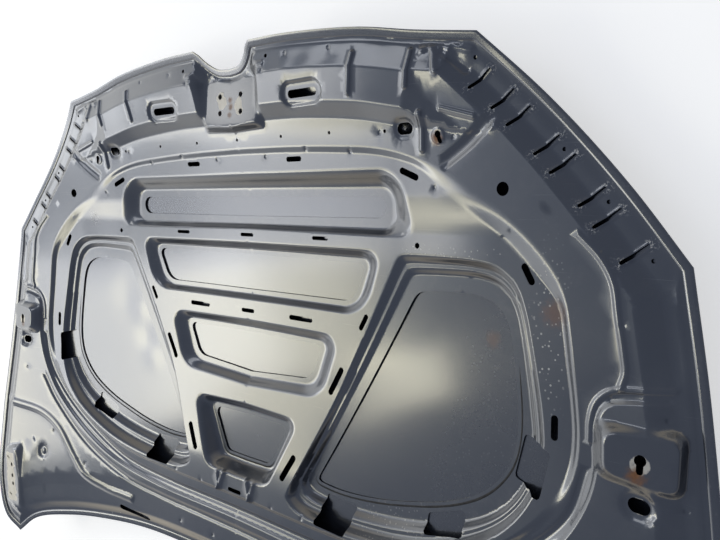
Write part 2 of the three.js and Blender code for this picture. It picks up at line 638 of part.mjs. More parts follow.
// Inner frame: one pressing with all its pockets, windows, slots and holes
function innerFrame() {
  const set = new PointSet();
  const margin = SKIN_THICKNESS + 0.2 + SEAT_CLEARANCE;
  const rim = insetEdge(margin);
  const halfRim = rim.slice(0, edgeHalf.length).map(([x, y], i) => [i === 0 || i === edgeHalf.length - 1 ? 0 : x, y]);
  set.add(halfRim, 1);
  set.add(insetEdge(EDGE_FLANGE).filter(([x, y]) => x >= 0 && distanceToLine(edgeHalf, x, y) > EDGE_FLANGE - 1), 9);
  const cuts = pockets.map((pocket) => {
    const line = rounded(pocket.cut, 25, !pocket.whole);
    set.add(line, 2);
    return pocket.whole ? mirrorLoop(line) : line;
  });
  pockets.forEach((pocket) => {
    set.add(rounded(pocket.toe, 30, !pocket.whole), 8);
    set.add(rounded(pocket.rim, 32, !pocket.whole), 8);
  });
  pads.forEach(({ rim: outer, floor }, i) => {
    const step = i === 0 ? 2 : 3;
    set.add(floor.filter((_, k) => k % step === 0).filter(([x]) => x >= 0), 6);
    set.add(outer.filter((_, k) => k % step === 0).filter(([x]) => x >= 0), 6);
  });
  RIBS.forEach(([x0, y0, x1, y1, half]) => {
    const length = Math.hypot(x1 - x0, y1 - y0);
    const nx = -(y1 - y0) / length * half;
    const ny = (x1 - x0) / length * half;
    const parts = Math.max(2, Math.round(length / 30));
    [0, 1, -1].forEach((side) => {
      const line = Array.from({ length: parts + 1 }, (_, k) => [
        lerp(x0, x1, k / parts) + nx * side, lerp(y0, y1, k / parts) + ny * side,
      ]);
      set.add(line, 5);
    });
  });
  const steps = [[frontReach, [55, 102, 124]], [lampLine, [42, 62]], [wingLine, [32, 60]], [rearLine, [34, 70, 125]]];
  set.add(ringHalf, 8);
  set.add(insetLoop(ringLoop, RING_STEP_WIDTH * inward).slice(0, ringHalf.length).filter(([x]) => x >= 0), 8);
  steps.forEach(([line, distances]) => {
    distances.forEach((distance) => {
      const moved = insetLoop([...line], distance * inward).slice(1, -1);
      set.add(moved.filter(([x, y]) => x >= 0 && inside(edgeLoop, x + 0.01, y)
        && distanceToLine(edgeHalf, x, y) > distance - 2 && !inside(ringLoop, x, y)), 16);
    });
  });
  [455, 420, 400, 385, 360, 344, 312, 194, 66, -84, -240, -300, -340, -372].forEach((y) => set.add([[0, y]], 9));
  for (let y = -500; y < 500; y += 56) {
    for (let x = 28; x < 770; x += 56) {
      const clear = distanceToLine(edgeHalf, x, y) > 20 && inside(edgeLoop, x, y);
      if (clear && !pockets.some((pocket) => inside(pocket.cutLoop, x, y))) {
        set.add([[x, y]], 34);
      }
    }
  }
  const panel = set.panel(mirrorLoop(halfRim), cuts);
  let body = solid(sheet(panel, frameHeight, (x, y) => frameHeight(x, y) + FRAME_THICKNESS));
  const outlines = bothSides([
    ...[...SLOTS, SIDE_KEYHOLE].map((slot) => longHole(slot)),
    ...ROUND_HOLES.map(([x, y, radius]) => circle(x, y, radius, radius > 5 ? 10 : 6)),
    ...LAMP_SLITS.map(([x, y]) => longHole([x, y, SLIT_LENGTH, SLIT_WIDTH, SLIT_TURN], 1)),
    ...WINDOWS.map((corners) => rounded(corners.map(([x, y]) => [x, y, 5]), 100, true)),
    ...HINGE_BOLTS.map(([x, y]) => circle(x, y, HINGE_BOLT_RADIUS, 8)),
  ]).concat(LATCH_BOLTS.map(([x, y]) => circle(x, y, LATCH_BOLT_RADIUS, 8)));
  outlines.forEach((outline) => {
    body = body.subtract(solid(prism(outline, -5, 260)));
  });
  return surface(body);
}

// Mastic bead that runs round a pocket between the frame and the skin
function masticBead(pocket, side) {
  const line = loopOf(pocket.cut, pocket.whole);
  const outer = loopOf(pocket.toe, pocket.whole);
  const count = Math.round(line.length * 8 / BEAD_STEP);
  const path = Array.from({ length: count }, (_, k) => {
    const [x, y] = line[Math.floor(k * line.length / count)];
    let near = outer[0];
    outer.forEach((point) => {
      if (Math.hypot(point[0] - x, point[1] - y) < Math.hypot(near[0] - x, near[1] - y)) {
        near = point;
      }
    });
    return { at: [lerp(x, near[0], 0.5), lerp(y, near[1], 0.5)] };
  });
  const vertices = [];
  const triangles = [];
  path.forEach(({ at }, k) => {
    const [ax, ay] = path[(k + count - 1) % count].at;
    const [bx, by] = path[(k + 1) % count].at;
    const length = Math.hypot(bx - ax, by - ay);
    const nx = (by - ay) / length * BEAD_WIDTH / 2;
    const ny = -(bx - ax) / length * BEAD_WIDTH / 2;
    [[1, 0], [1, 1], [-1, 1], [-1, 0]].forEach(([across, up]) => {
      const x = at[0] + nx * across;
      const y = at[1] + ny * across;
      const low = skinFacet(x, y) + SKIN_THICKNESS + SEAT_CLEARANCE;
      vertices.push(x * side, y, low + up * (FLANGE_GAP - 2 * SEAT_CLEARANCE));
    });
  });
  for (let k = 0; k < count; k += 1) {
    for (let c = 0; c < 4; c += 1) {
      const a = k * 4 + c;
      const b = k * 4 + (c + 1) % 4;
      const d = ((k + 1) % count) * 4 + c;
      const e = ((k + 1) % count) * 4 + (c + 1) % 4;
      triangles.push(a, b, e, a, e, d);
    }
  }
  const body = { vertices, triangles };
  return volume(body) < 0 ? turned(body) : body;
}

function volume({ vertices, triangles }) {
  let total = 0;
  for (let i = 0; i < triangles.length; i += 3) {
    const [a, b, c] = [0, 1, 2].map((k) => new THREE.Vector3().fromArray(vertices, triangles[i + k] * 3));
    total += a.dot(b.cross(c)) / 6;
  }
  return total;
}

function turned({ vertices, triangles }) {
  const swapped = [];
  for (let i = 0; i < triangles.length; i += 3) {
    swapped.push(triangles[i], triangles[i + 2], triangles[i + 1]);
  }
  return { vertices, triangles: swapped };
}

// A flat plate with holes
function plate(outline, low, thickness, holes) {
  let body = solid(prism(outline, low, low + thickness));
  holes.forEach((hole) => {
    body = body.subtract(solid(prism(hole, low - 1, low + thickness + 1)));
  });
  return surface(body);
}

function nut(x, y, top) {
  return plate(circle(x, y, NUT_RADIUS, 6), top - NUT_HEIGHT, NUT_HEIGHT, [circle(x, y, NUT_BORE, 8)]);
}

place('outer_skin', outerSkin(), SHOW_PAINT);
place('inner_frame', innerFrame(), PAINT);

const latchTop = LATCH_LEVEL - SEAT_CLEARANCE;
const latchHoles = LATCH_BOLTS.map(([x, y]) => circle(x, y, LATCH_BOLT_RADIUS, 8));
place('latch_plate', plate(loopOf(LATCH_PLATE, true), latchTop - LATCH_PLATE_THICKNESS, LATCH_PLATE_THICKNESS,
  latchHoles), BARE_STEEL);
LATCH_BOLTS.forEach(([x, y], i) => {
  place(`latch_nut_${i + 1}`, nut(x, y, latchTop - LATCH_PLATE_THICKNESS - SEAT_CLEARANCE), NUT_STEEL);
});

const hingeTop = HINGE_LEVEL - SEAT_CLEARANCE;
const studTop = SIDE_LEVEL - SEAT_CLEARANCE;
[1, -1].forEach((side) => {
  const label = side > 0 ? 'right' : 'left';
  const turn = (outline) => (side > 0 ? outline : flip(outline));
  const bolts = HINGE_BOLTS.map(([x, y]) => turn(circle(x, y, HINGE_BOLT_RADIUS, 8)));
  place(`hinge_plate_${label}`, plate(turn(loopOf(HINGE_PLATE, false)), hingeTop - HINGE_PLATE_THICKNESS,
    HINGE_PLATE_THICKNESS, bolts), BARE_STEEL);
  HINGE_BOLTS.forEach(([x, y], i) => {
    place(`hinge_nut_${label}_${i + 1}`, nut(x * side, y, hingeTop - HINGE_PLATE_THICKNESS - SEAT_CLEARANCE), NUT_STEEL);
  });
  const pad = turn(rounded(STUD_PLATE, 20, true));
  place(`stud_plate_${label}`, plate(pad, studTop - STUD_PLATE_THICKNESS, STUD_PLATE_THICKNESS,
    [turn(longHole(SIDE_KEYHOLE))]), BARE_STEEL);
});

pockets.forEach((pocket) => {
  place(`mastic_${pocket.name}${pocket.whole ? '' : '_right'}`, masticBead(pocket, 1), MASTIC);
  if (!pocket.whole) {
    place(`mastic_${pocket.name}_left`, masticBead(pocket, -1), MASTIC);
  }
});

export default group;
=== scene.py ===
"""Looks of the car bonnet: a painted steel inner frame and its crowned outer skin, inner side up."""

import logging
import math
from collections.abc import Callable, Iterable, Sequence
from dataclasses import dataclass, field
from enum import Enum

import bmesh
import bpy
import numpy as np
from mathutils import Matrix, Vector
from mathutils.geometry import delaunay_2d_cdt


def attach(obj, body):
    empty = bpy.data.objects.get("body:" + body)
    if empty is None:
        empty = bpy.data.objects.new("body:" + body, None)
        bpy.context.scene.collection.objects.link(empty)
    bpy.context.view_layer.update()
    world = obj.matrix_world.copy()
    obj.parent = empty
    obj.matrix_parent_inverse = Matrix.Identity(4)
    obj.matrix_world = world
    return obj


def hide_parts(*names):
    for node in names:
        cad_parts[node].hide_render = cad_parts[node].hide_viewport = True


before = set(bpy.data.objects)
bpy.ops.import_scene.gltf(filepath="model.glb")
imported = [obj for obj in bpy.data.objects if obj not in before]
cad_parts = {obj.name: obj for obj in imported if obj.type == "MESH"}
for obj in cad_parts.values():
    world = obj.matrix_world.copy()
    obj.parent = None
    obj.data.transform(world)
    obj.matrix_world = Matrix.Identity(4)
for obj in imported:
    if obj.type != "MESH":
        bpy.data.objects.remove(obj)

log = logging.getLogger("bonnet")

Array = np.ndarray
Corners = Sequence[Sequence[float]]
Triple = tuple[float, float, float]
Material = bpy.types.Material
Socket = bpy.types.NodeSocket
Value = Socket | float | Triple | None

# Lengths below are in mm; the plan's y is SHIFT_Y behind the frame's.
MM = 0.001
SHIFT_Y = 6.0
SKIN_THICKNESS = 0.8
FRAME_THICKNESS = 0.8
HEM_CLEARANCE = 0.5
HEM_WIDTH = 11.0
EDGE_FLANGE = 13.0
FLANGE_LEVEL = SKIN_THICKNESS + HEM_CLEARANCE
FRAME_MARGIN = 1.3
POCKET_LEVEL = SKIN_THICKNESS + 2.7
RING_STEP = 11.0

# The right half of the outline, from the notch round to the rear.
NOTCH_EDGE = [(0, 462), (25, 465), (45, 477), (57, 489), (66, 495)]
FRONT_EDGE = [(66, 495), (150, 493), (280, 481), (370, 464), (459, 449)]
LAMP_EDGE = [(459, 449), (545, 367), (637, 267), (703, 185)]
WING_EDGE = [(703, 185), (729, 38), (757, -170), (762, -262), (752, -400), (712, -480), (656, -507)]
REAR_EDGE = [(656, -507), (612, -470), (501, -437), (372, -414), (248, -400), (0, -393)]

# Rise of the frame over the skin's height: distance from the edge, rise.
FRONT_PROFILE = [(0, 1.3), (14, 1.3), (19, 6), (50, 25), (96, 33), (117, 22.5), (2000, 23.5)]
NOTCH_PROFILE = [(0, 1.3), (14, 1.3), (22, 8), (40, 26), (60, 50), (2000, 60)]
LAMP_PROFILE = [(0, 1.3), (14, 1.3), (26, 3.2), (40, 4.2), (66, 24), (100, 24), (140, 34), (2000, 60)]
WING_PROFILE = [(0, 1.3), (14, 1.3), (20, 5), (32, 7), (62, 24), (200, 24), (300, 40), (2000, 60)]
REAR_PROFILE = [(0, 1.3), (14, 1.3), (22, 6), (34, 14), (70, 18), (125, 28), (300, 34), (2000, 60)]

RING_EDGE = [(0, 338), (120, 336), (224, 331), (290, 325), (340, 314), (400, 291), (450, 262), (500, 228), (540, 193),
             (562, 166), (575, 137), (582, 101), (588, 62), (594, 24), (598, -15), (596, -50), (585, -86),
             (562, -124), (520, -168), (460, -206), (390, -236), (310, -256), (200, -264), (0, -266)]

LATCH_LEVEL = 60.0
HINGE_LEVEL = 110.0
SIDE_LEVEL = 88.0
LATCH_BOLTS = [(-25, 421), (25, 421), (-25, 394), (25, 394)]
HINGE_BOLTS = [(684, -358), (681, -383), (678, -401)]

# Slots: x, y, length, width, turn in degrees.
SLOTS = [
    (167, 408, 58, 12, 0), (123, 316, 33, 8, 0), (345, 287, 34, 9, -22), (524, 165, 28, 9, -60),
    (565, -11, 30, 9, -88), (169, 194, 34, 6, 0), (0, 194, 32, 6, 0), (126, 63, 52, 8, 0),
    (0, 63, 32, 7, 0), (258, 73, 28, 8, 61), (205, -25, 52, 10, 61), (121, -180, 52, 11, 61),
    (0, -250, 33, 7, 0), (292, -376, 84, 11, 4), (343, 346, 26, 15, 0),
    (667, -67, 24, 16, 0), (700, -344, 12, 4, 20), (690, -428, 12, 4, 20),
]
# Round holes: x, y, radius.
ROUND_HOLES = [
    (490, 265, 8.5), (355, 191, 4), (103, 351, 2.5), (205, 350, 2.5), (0, 351, 2.5), (100, 468, 3),
    (309, 345, 2.5), (452, 421, 2.5), (561, 309, 2.5), (614, 250, 2.5), (664, 189, 2.5),
]
# Slits in the band behind the lamp: middles, and their length, width and turn.
LAMP_SLITS = [(458, 396), (487, 370), (507, 349), (542, 314), (562, 292), (597, 255), (615, 232), (646, 195)]
SLIT_LENGTH = 35
SLIT_WIDTH = 4.4
SLIT_TURN = 37
WINDOWS = [
    [(562, -42), (522, -31), (510, -89), (552, -102)],
    [(382, -178), (440, -156), (445, -188), (380, -206)],
    [(190, -208), (252, -210), (250, -250), (185, -250)],
]

# Keyholes: x, y, radius, half width and length of the slot, turn.
KEYHOLES = [(397, 335, 4.6, 3.0, 9.5, 20), (668, -15, 6.2, 3.6, 12.0, 0)]


@dataclass(frozen=True)
class Line:
    """A pressed line: points, flat half width, outer half width, height; bent lines are smoothed."""
    points: tuple
    core: float
    half: float
    height: float
    bent: bool = False


@dataclass(frozen=True)
class Step:
    """A pressed step: its outer side drops by height and comes back over reach."""
    points: tuple
    width: float
    height: float
    reach: float


LINES = (
    Line(((363, 440), (356, 396)), 0.8, 6, 4), Line(((269, 449), (259, 398)), 0.8, 6, 4),
    Line(((374, 362), (371, 318)), 1, 7, 4), Line(((470, 345), (440, 322), (408, 302)), 2, 12, -4.5, True),
    Line(((167 - 22, 408), (167 + 24, 408)), 13, 20, -4.5), Line(((339, 346), (347, 346)), 9, 16, -2.0),
    Line(((664, -67), (671, -67)), 9, 20, -4.5), Line(((404, 366), (452, 352)), 1, 6, 2.5),
    Line(((0, -286), (200, -284), (330, -270), (440, -228), (530, -172), (588, -108), (606, -48)), 1, 8, -3.2, True),
    Line(((0, -320), (200, -318), (320, -306), (450, -264), (560, -188), (602, -140)), 1, 9, -3.0, True),
    Line(((742, -214), (680, -216), (600, -224), (545, -248), (487, -300), (445, -332), (380, -345), (300, -348)),
         1, 12, 3, True),
    Line(((588, 214), (613, 190), (628, 165), (635, 128), (642, 92), (645, 70), (641, 55)), 0.5, 6, 2.4, True),
    Line(((609, -12), (609, 12), (614, 31), (628, 46), (646, 52), (692, 58)), 0.5, 6, 2.4, True),
    Line(((631, 37), (660, 43), (688, 47)), 0.5, 5, -1.5, True),
    Line(((92, 458), (60, 458)), 1, 7, 1.5),
    Line(((30, -226), (40, -256)), 0.5, 7, 5), Line(((46, -228), (40, -256)), 0.5, 6, 4),
    Line(((448, 432), (400, 446), (380, 440)), 1, 9, 3, True),
    Line(((438, 408), (410, 432)), 1, 8, -2.6), Line(((392, 452), (402, 410)), 1, 7, 2.6),
)
STEPS = (
    Step(((700, 50), (660, 44), (640, 39), (624, 30), (616, 13), (615, -12), (617, -41), (611, -75), (594, -116),
          (565, -158), (520, -198), (440, -246), (350, -278), (200, -296), (0, -298)), 9, 4.5, 70),
    Step(((655, -300), (668, -306), (664, -340), (657, -390), (650, -424), (636, -452)), 10, -5, 24),
)
# Round dents and pips: x, y, flat radius, outer radius, height.
DIMPLES = [
    (590, -310, 9, 19, -4), (590, -310, 2, 8, 2.5), (397, 333, 8, 12, 1.4), (668, -20, 13, 18, -1.6),
    (668, -20, 8, 11, 1.4),
] + [(x, y, 1.0, 4.6, -0.9) for x, y in (
    (152, 330), (60, 322), (240, 322), (388, 268), (330, 462), (225, 463), (140, 466), (408, 446), (300, 344),
    (92, 446), (640, 120), (660, -130), (560, -260), (448, -310), (150, -350), (60, -350), (690, 28), (712, -60),
    (160, -250), (90, -255), (420, 330),
)] + [(687, 10, 2, 8, 2.0), (693, -36, 2, 8, 2.0)]
# Shallow dents of the skin: x, y, radius, height.
SKIN_DENTS = [(-325, 30, 22, 0.8), (-300, -25, 24, -0.9), (-285, -60, 20, 0.7), (-360, 70, 40, -0.7), (390, 0, 90, 0.8)]


def clamp01(value: Array) -> Array:
    """Limits an array to 0..1."""
    return np.clip(value, 0.0, 1.0)


def smooth(value: Array) -> Array:
    """Smooth step of an array over 0..1."""
    t = clamp01(value)
    return t * t * (3 - 2 * t)


def skin_height(x: Array, y: Array) -> Array:
    """Height of the skin's show side.

    Args:
        x: plan places across, in mm.
        y: plan places along, in mm.

    Returns:
        Heights in mm over the lowest point.
    """
    nose = 52.0 * clamp01((y - 255.0) / 245.0) ** 2.5
    tail = 0.06e-3 * np.minimum(0, y + 50.0) ** 2
    return 0.136e-3 * y * y + 0.1106e-3 * x * x + 4.5e-11 * x ** 4 + nose + tail


def skin_dents(x: Array, y: Array) -> Array:
    """Shallow dents of the skin in mm at plan places in mm."""
    return sum(h * np.exp(-((x - cx) ** 2 + (y - cy) ** 2) / (r * r)) for cx, cy, r, h in SKIN_DENTS)


def curve(points: Corners, step: float) -> Array:
    """Evenly spaced points on a smooth centripetal curve.

    Args:
        points: places that it runs through.
        step: distance of the new points in mm.

    Returns:
        The points in mm, one a row.
    """
    pts = [np.array(p, float) for p in points]
    pts = [2 * pts[0] - pts[1], *pts, 2 * pts[-1] - pts[-2]]
    dense = []
    for p0, p1, p2, p3 in zip(pts, pts[1:], pts[2:], pts[3:]):
        t0 = 0.0
        t1 = t0 + np.linalg.norm(p1 - p0) ** 0.5
        t2 = t1 + np.linalg.norm(p2 - p1) ** 0.5
        t3 = t2 + np.linalg.norm(p3 - p2) ** 0.5
        for t in np.linspace(t1, t2, 40, endpoint=False):
            a1 = (t1 - t) / (t1 - t0) * p0 + (t - t0) / (t1 - t0) * p1
            a2 = (t2 - t) / (t2 - t1) * p1 + (t - t1) / (t2 - t1) * p2
            a3 = (t3 - t) / (t3 - t2) * p2 + (t - t2) / (t3 - t2) * p3
            b1 = (t2 - t) / (t2 - t0) * a1 + (t - t0) / (t2 - t0) * a2
            b2 = (t3 - t) / (t3 - t1) * a2 + (t - t1) / (t3 - t1) * a3
            dense.append((t2 - t) / (t2 - t1) * b1 + (t - t1) / (t2 - t1) * b2)
    dense.append(pts[-2])
    return resample(np.array(dense), step)


def resample(line: Corners, step: float, closed: bool = False) -> Array:
    """Evenly spaced points along a polyline.

    Args:
        line: its corners in mm.
        step: distance of the new points in mm.
        closed: whether its end joins its start.

    Returns:
        The points in mm, one a row.
    """
    line = np.asarray(line, float)
    if closed:
        line = np.vstack([line, line[:1]])
    lengths = np.r_[0, np.cumsum(np.hypot(*np.diff(line, axis=0).T))]
    count = max(1, int(round(lengths[-1] / step)))
    at = np.linspace(0, lengths[-1], count + 1)
    if closed:
        at = at[:-1]
    return np.column_stack([np.interp(at, lengths, line[:, 0]), np.interp(at, lengths, line[:, 1])])


def rounded(corners: Corners, closed: bool, step: float = 3.0) -> Array:
    """A run of straight lines with rounded corners.

    Args:
        corners: x, y and, where it is rounded, radius in mm.
        closed: whether its end joins its start.
        step: distance of the new points in mm.

    Returns:
        The points in mm, one a row.
    """
    path = []
    total = len(corners)
    for i, corner in enumerate(corners):
        x, y = corner[:2]
        radius = corner[2] if len(corner) > 2 else 0.0
        if not closed and i in (0, total - 1):
            path.append((x, y))
            continue
        here = np.array([x, y], float)
        to_a = np.array(corners[i - 1][:2], float) - here
        to_b = np.array(corners[(i + 1) % total][:2], float) - here
        la, lb = np.linalg.norm(to_a), np.linalg.norm(to_b)
        ua, ub = to_a / la, to_b / lb
        half = math.acos(max(-1, min(1, float(ua @ ub)))) / 2
        back = min(radius / math.tan(half), la * 0.49, lb * 0.49)
        real = back * math.tan(half)
        bis = (ua + ub) / np.linalg.norm(ua + ub)
        centre = here + bis * math.hypot(back, real)
        start = math.atan2(*(here + ua * back - centre)[::-1])
        sweep = math.atan2(*(here + ub * back - centre)[::-1]) - start
        sweep -= 2 * math.pi * round(sweep / (2 * math.pi))
        parts = max(1, math.ceil(abs(sweep) * real / step))
        for k in range(parts + 1):
            a = start + sweep * k / parts
            path.append((centre[0] + real * math.cos(a), centre[1] + real * math.sin(a)))
    return resample(path, step, closed)


def softened(points: Corners, step: float, spread: float) -> Array:
    """A closed outline with its corners averaged off.

    Args:
        points: places that it runs through.
        step: distance of the new points in mm.
        spread: width of the averaging in steps.

    Returns:
        The points in mm, one a row.
    """
    line = np.vstack([curve(points, step), np.array([points[0]], float)])
    line = resample(line[:-1], step, True)
    reach = np.arange(-9, 10)
    weights = np.exp(-0.5 * (reach / spread) ** 2)
    return sum(w * np.roll(line, k, axis=0) for k, w in zip(reach, weights / weights.sum()))


def mirror_loop(half: Array) -> Array:
    """A closed loop from its right half.

    Args:
        half: points that start and end on the middle line.

    Returns:
        The whole loop.
    """
    back = half[::-1]
    back = back[back[:, 0] > 1e-6] * [-1, 1]
    return np.vstack([half, back])


def distance(line: Corners, x: Array, y: Array, closed: bool = False) -> Array:
    """Distance from plan places to a polyline.

    Args:
        line: its corners in mm.
        x: plan places across, in mm.
        y: plan places along, in mm.
        closed: whether its end joins its start.

    Returns:
        Distances in mm.
    """
    a = np.asarray(line, float)
    b = np.roll(a, -1, axis=0)
    if not closed:
        a, b = a[:-1], b[:-1]
    best = np.full(x.shape, 1e18)
    for (x0, y0), (x1, y1) in zip(a, b):
        dx, dy = x1 - x0, y1 - y0
        t = clamp01(((x - x0) * dx + (y - y0) * dy) / (dx * dx + dy * dy + 1e-12))
        best = np.minimum(best, (x - x0 - dx * t) ** 2 + (y - y0 - dy * t) ** 2)
    return np.sqrt(best)


def signed(line: Corners, x: Array, y: Array) -> tuple[Array, Array]:
    """Distance to an open polyline, with its side.

    Args:
        line: its corners in mm.
        x: plan places across, in mm.
        y: plan places along, in mm.

    Returns:
        Distances in mm, more than 0 on the left of its run, and distances to its nearer free end.
    """
    a = np.asarray(line, float)
    best = np.full(x.shape, 1e18)
    side = np.zeros(x.shape)
    for (x0, y0), (x1, y1) in zip(a[:-1], a[1:]):
        dx, dy = x1 - x0, y1 - y0
        t = clamp01(((x - x0) * dx + (y - y0) * dy) / (dx * dx + dy * dy))
        away = (x - x0 - dx * t) ** 2 + (y - y0 - dy * t) ** 2
        nearer = away < best
        best = np.where(nearer, away, best)
        side = np.where(nearer, np.sign(dx * (y - y0) - dy * (x - x0)), side)
    ends = [np.hypot(x - a[i][0], y - a[i][1]) for i in (0, -1) if abs(a[i][0]) > 1]
    return np.sqrt(best) * side, np.min(ends, axis=0)


def offset(line: Corners, away: float) -> Array:
    """An open polyline moved to the right of its run.

    Args:
        line: its corners in mm.
        away: how far, in mm.

    Returns:
        The points in mm, one a row.
    """
    run = np.gradient(np.asarray(line, float), axis=0)
    return line + np.column_stack([run[:, 1], -run[:, 0]]) / np.hypot(*run.T)[:, None] * away


def inside(loop: Array, x: Array, y: Array) -> Array:
    """Which plan places lie in a closed loop.

    Args:
        loop: its points in mm.
        x: plan places across, in mm.
        y: plan places along, in mm.

    Returns:
        True where they do.
    """
    hit = np.zeros(x.shape, bool)
    xs, ys = loop[:, 0], loop[:, 1]
    for xi, yi, xj, yj in zip(xs, ys, np.roll(xs, 1), np.roll(ys, 1)):
        if yi == yj:
            continue
        cross = ((yi > y) != (yj > y)) & (x < (xj - xi) * (y - yi) / (yj - yi) + xi)
        hit ^= cross
    return hit


def within(loop: Array, x: Array, y: Array, margin: float) -> Array:
    """Which plan places lie in the box round a loop.

    Args:
        loop: its points in mm.
        x: plan places across, in mm.
        y: plan places along, in mm.
        margin: how much wider the box is, in mm.

    Returns:
        Their indices.
    """
    lows, highs = np.min(loop, axis=0) - margin, np.max(loop, axis=0) + margin
    return np.nonzero((x > lows[0]) & (x < highs[0]) & (y > lows[1]) & (y < highs[1]))[0]


def inset(loop: Array, amount: float) -> Array:
    """A closed loop moved inwards, point for point.

    Args:
        loop: its points in mm.
        amount: how far, in mm.

    Returns:
        The points in mm, one a row.
    """
    before = np.roll(loop, 1, axis=0)
    after = np.roll(loop, -1, axis=0)
    area = 0.5 * np.sum(loop[:, 0] * after[:, 1] - after[:, 0] * loop[:, 1])
    turn = 1.0 if area > 0 else -1.0
    da = (loop - before) / np.linalg.norm(loop - before, axis=1)[:, None]
    db = (after - loop) / np.linalg.norm(after - loop, axis=1)[:, None]
    mid = turn * (np.column_stack([-da[:, 1], da[:, 0]]) + np.column_stack([-db[:, 1], db[:, 0]]))
    scale = 2 / np.sum(mid * mid, axis=1)
    return loop + mid * scale[:, None] * amount


def turned(points: Array, turn: float) -> Array:
    """Points turned by degrees about the origin."""
    angle = math.radians(turn)
    return points @ np.array([[math.cos(angle), math.sin(angle)], [-math.sin(angle), math.cos(angle)]])


def long_hole(x: float, y: float, length: float, width: float, turn: float, step: float = 3.5) -> Array:
    """Outline of a slot with round ends.

    Args:
        x: its middle across, in mm.
        y: its middle along, in mm.
        length: over its ends, in mm.
        width: in mm.
        turn: in degrees.
        step: longest side of the outline in mm.

    Returns:
        The points in mm, one a row.
    """
    radius = width / 2
    run = max(0.0, length / 2 - radius)
    points = []
    for side in (1, -1):
        for k in range(9):
            a = side * (-math.pi / 2 + math.pi * k / 8) if side > 0 else math.pi / 2 + math.pi * k / 8
            points.append((side * run + radius * math.cos(a), radius * math.sin(a)))
    return turned(subdivide(np.array(points), step), turn) + [x, y]


def subdivide(loop: Array, step: float) -> Array:
    """A closed loop with its long sides cut up.

    Args:
        loop: its points in mm.
        step: longest side in mm.

    Returns:
        The points in mm, one a row.
    """
    out = []
    for a, b in zip(loop, np.roll(loop, -1, axis=0)):
        count = max(1, int(np.linalg.norm(b - a) // step))
        out += [a + (b - a) * k / count for k in range(count)]
    return np.array(out)


def keyhole(x: float, y: float, radius: float, slot: float, length: float, turn: float) -> Array:
    """Outline of a round hole with a narrow slot running down from it.

    Args:
        x: its middle across, in mm.
        y: its middle along, in mm.
        radius: of the hole, in mm.
        slot: half width of the slot in mm.
        length: of the slot from the middle, in mm.
        turn: in degrees.

    Returns:
        The points in mm, one a row.
    """
    start = math.asin(slot / radius)
    arc = np.linspace(-math.pi / 2 + start, 3 * math.pi / 2 - start, 16)
    points = [(radius * math.cos(a), radius * math.sin(a)) for a in arc]
    low = -length - slot * 0.8
    points += [(-slot, -length), (-slot * 0.6, low), (slot * 0.6, low), (slot, -length)]
    return subdivide(turned(np.array(points), turn) + [x, y], 3)


def circle(x: float, y: float, radius: float, sides: int = 18) -> Array:
    """Outline of a round hole."""
    a = 2 * np.pi * np.arange(sides) / sides
    return np.column_stack([x + radius * np.cos(a), y + radius * np.sin(a)])


def both_sides(outlines: list[Array]) -> list[Array]:
    """Adds the mirror of what is off the middle line.

    Args:
        outlines: closed loops.

    Returns:
        The loops with their mirrors.
    """
    out = []
    for outline in outlines:
        out.append(outline)
        if abs(outline[:, 0].mean()) > 1:
            out.append(outline[::-1] * [-1, 1])
    return out


@dataclass(frozen=True)
class Pocket:
    """One opening of the frame: its rim on the land, its toe and its cut edge, in mm."""
    name: str
    whole: bool
    rim: tuple
    toe: tuple
    cut: tuple

    def loop(self, corners: Corners) -> Array:
        """The closed loop of one of its lines.

        Args:
            corners: its rim, toe or cut.

        Returns:
            The points in mm, one a row.
        """
        if self.whole:
            return mirror_loop(rounded(corners, False))
        return softened(corners, 3.0, 2.6)


POCKETS = (
    Pocket("long_slot", True,
           ((0, 298, 0), (330, 296, 52), (352, 200, 20), (0, 204, 0)),
           ((0, 272, 0), (306, 271, 24), (308, 212, 18), (0, 213, 0)),
           ((0, 260, 0), (293, 259, 16), (293, 227, 16), (0, 226, 0))),
    Pocket("front_trapezoid", True,
           ((0, 182, 0), (292, 181, 20), (262, 82, 60), (0, 82, 0)),
           ((0, 169, 0), (266, 168, 14), (236, 91, 42), (0, 91, 0)),
           ((0, 161, 0), (256, 160, 10), (228, 100, 34), (0, 99, 0))),
    Pocket("middle_trapezoid", True,
           ((0, 48, 0), (212, 46, 24), (176, -60, 50), (0, -68, 0)),
           ((0, 33, 0), (177, 32, 12), (151, -44, 36), (0, -54, 0)),
           ((0, 25, 0), (167, 24, 9), (140, -35, 28), (0, -46, 0))),
    Pocket("rear_trapezoid", True,
           ((0, -98, 0), (134, -102, 18), (78, -224, 30), (0, -226, 0)),
           ((0, -114, 0), (106, -116, 12), (62, -206, 20), (0, -208, 0)),
           ((0, -122, 0), (94, -124, 10), (54, -198, 14), (0, -199, 0))),
    Pocket("side", False,
           ((322, 179), (379, 179), (443, 178), (482, 172), (508, 152), (522, 120), (532, 80), (541, 40), (549, 0),
            (553, -40), (548, -85), (530, -125), (500, -160), (460, -190), (410, -214), (350, -233), (280, -244),
            (200, -248), (145, -244), (118, -228)),
           ((340, 149), (392, 152), (454, 152), (482, 144), (500, 126), (510, 95), (520, 47), (528, -1), (533, -44),
            (524, -90), (500, -128), (464, -156), (410, -181), (350, -198), (280, -210), (214, -215), (165, -213),
            (142, -204)),
           ((348, 126), (372, 130), (412, 132), (450, 131), (477, 121), (492, 103), (500, 73), (506, 35), (511, -8),
            (511, -44), (503, -77), (482, -108), (455, -131), (408, -155), (349, -174), (285, -189), (214, -197),
            (164, -195))),
)

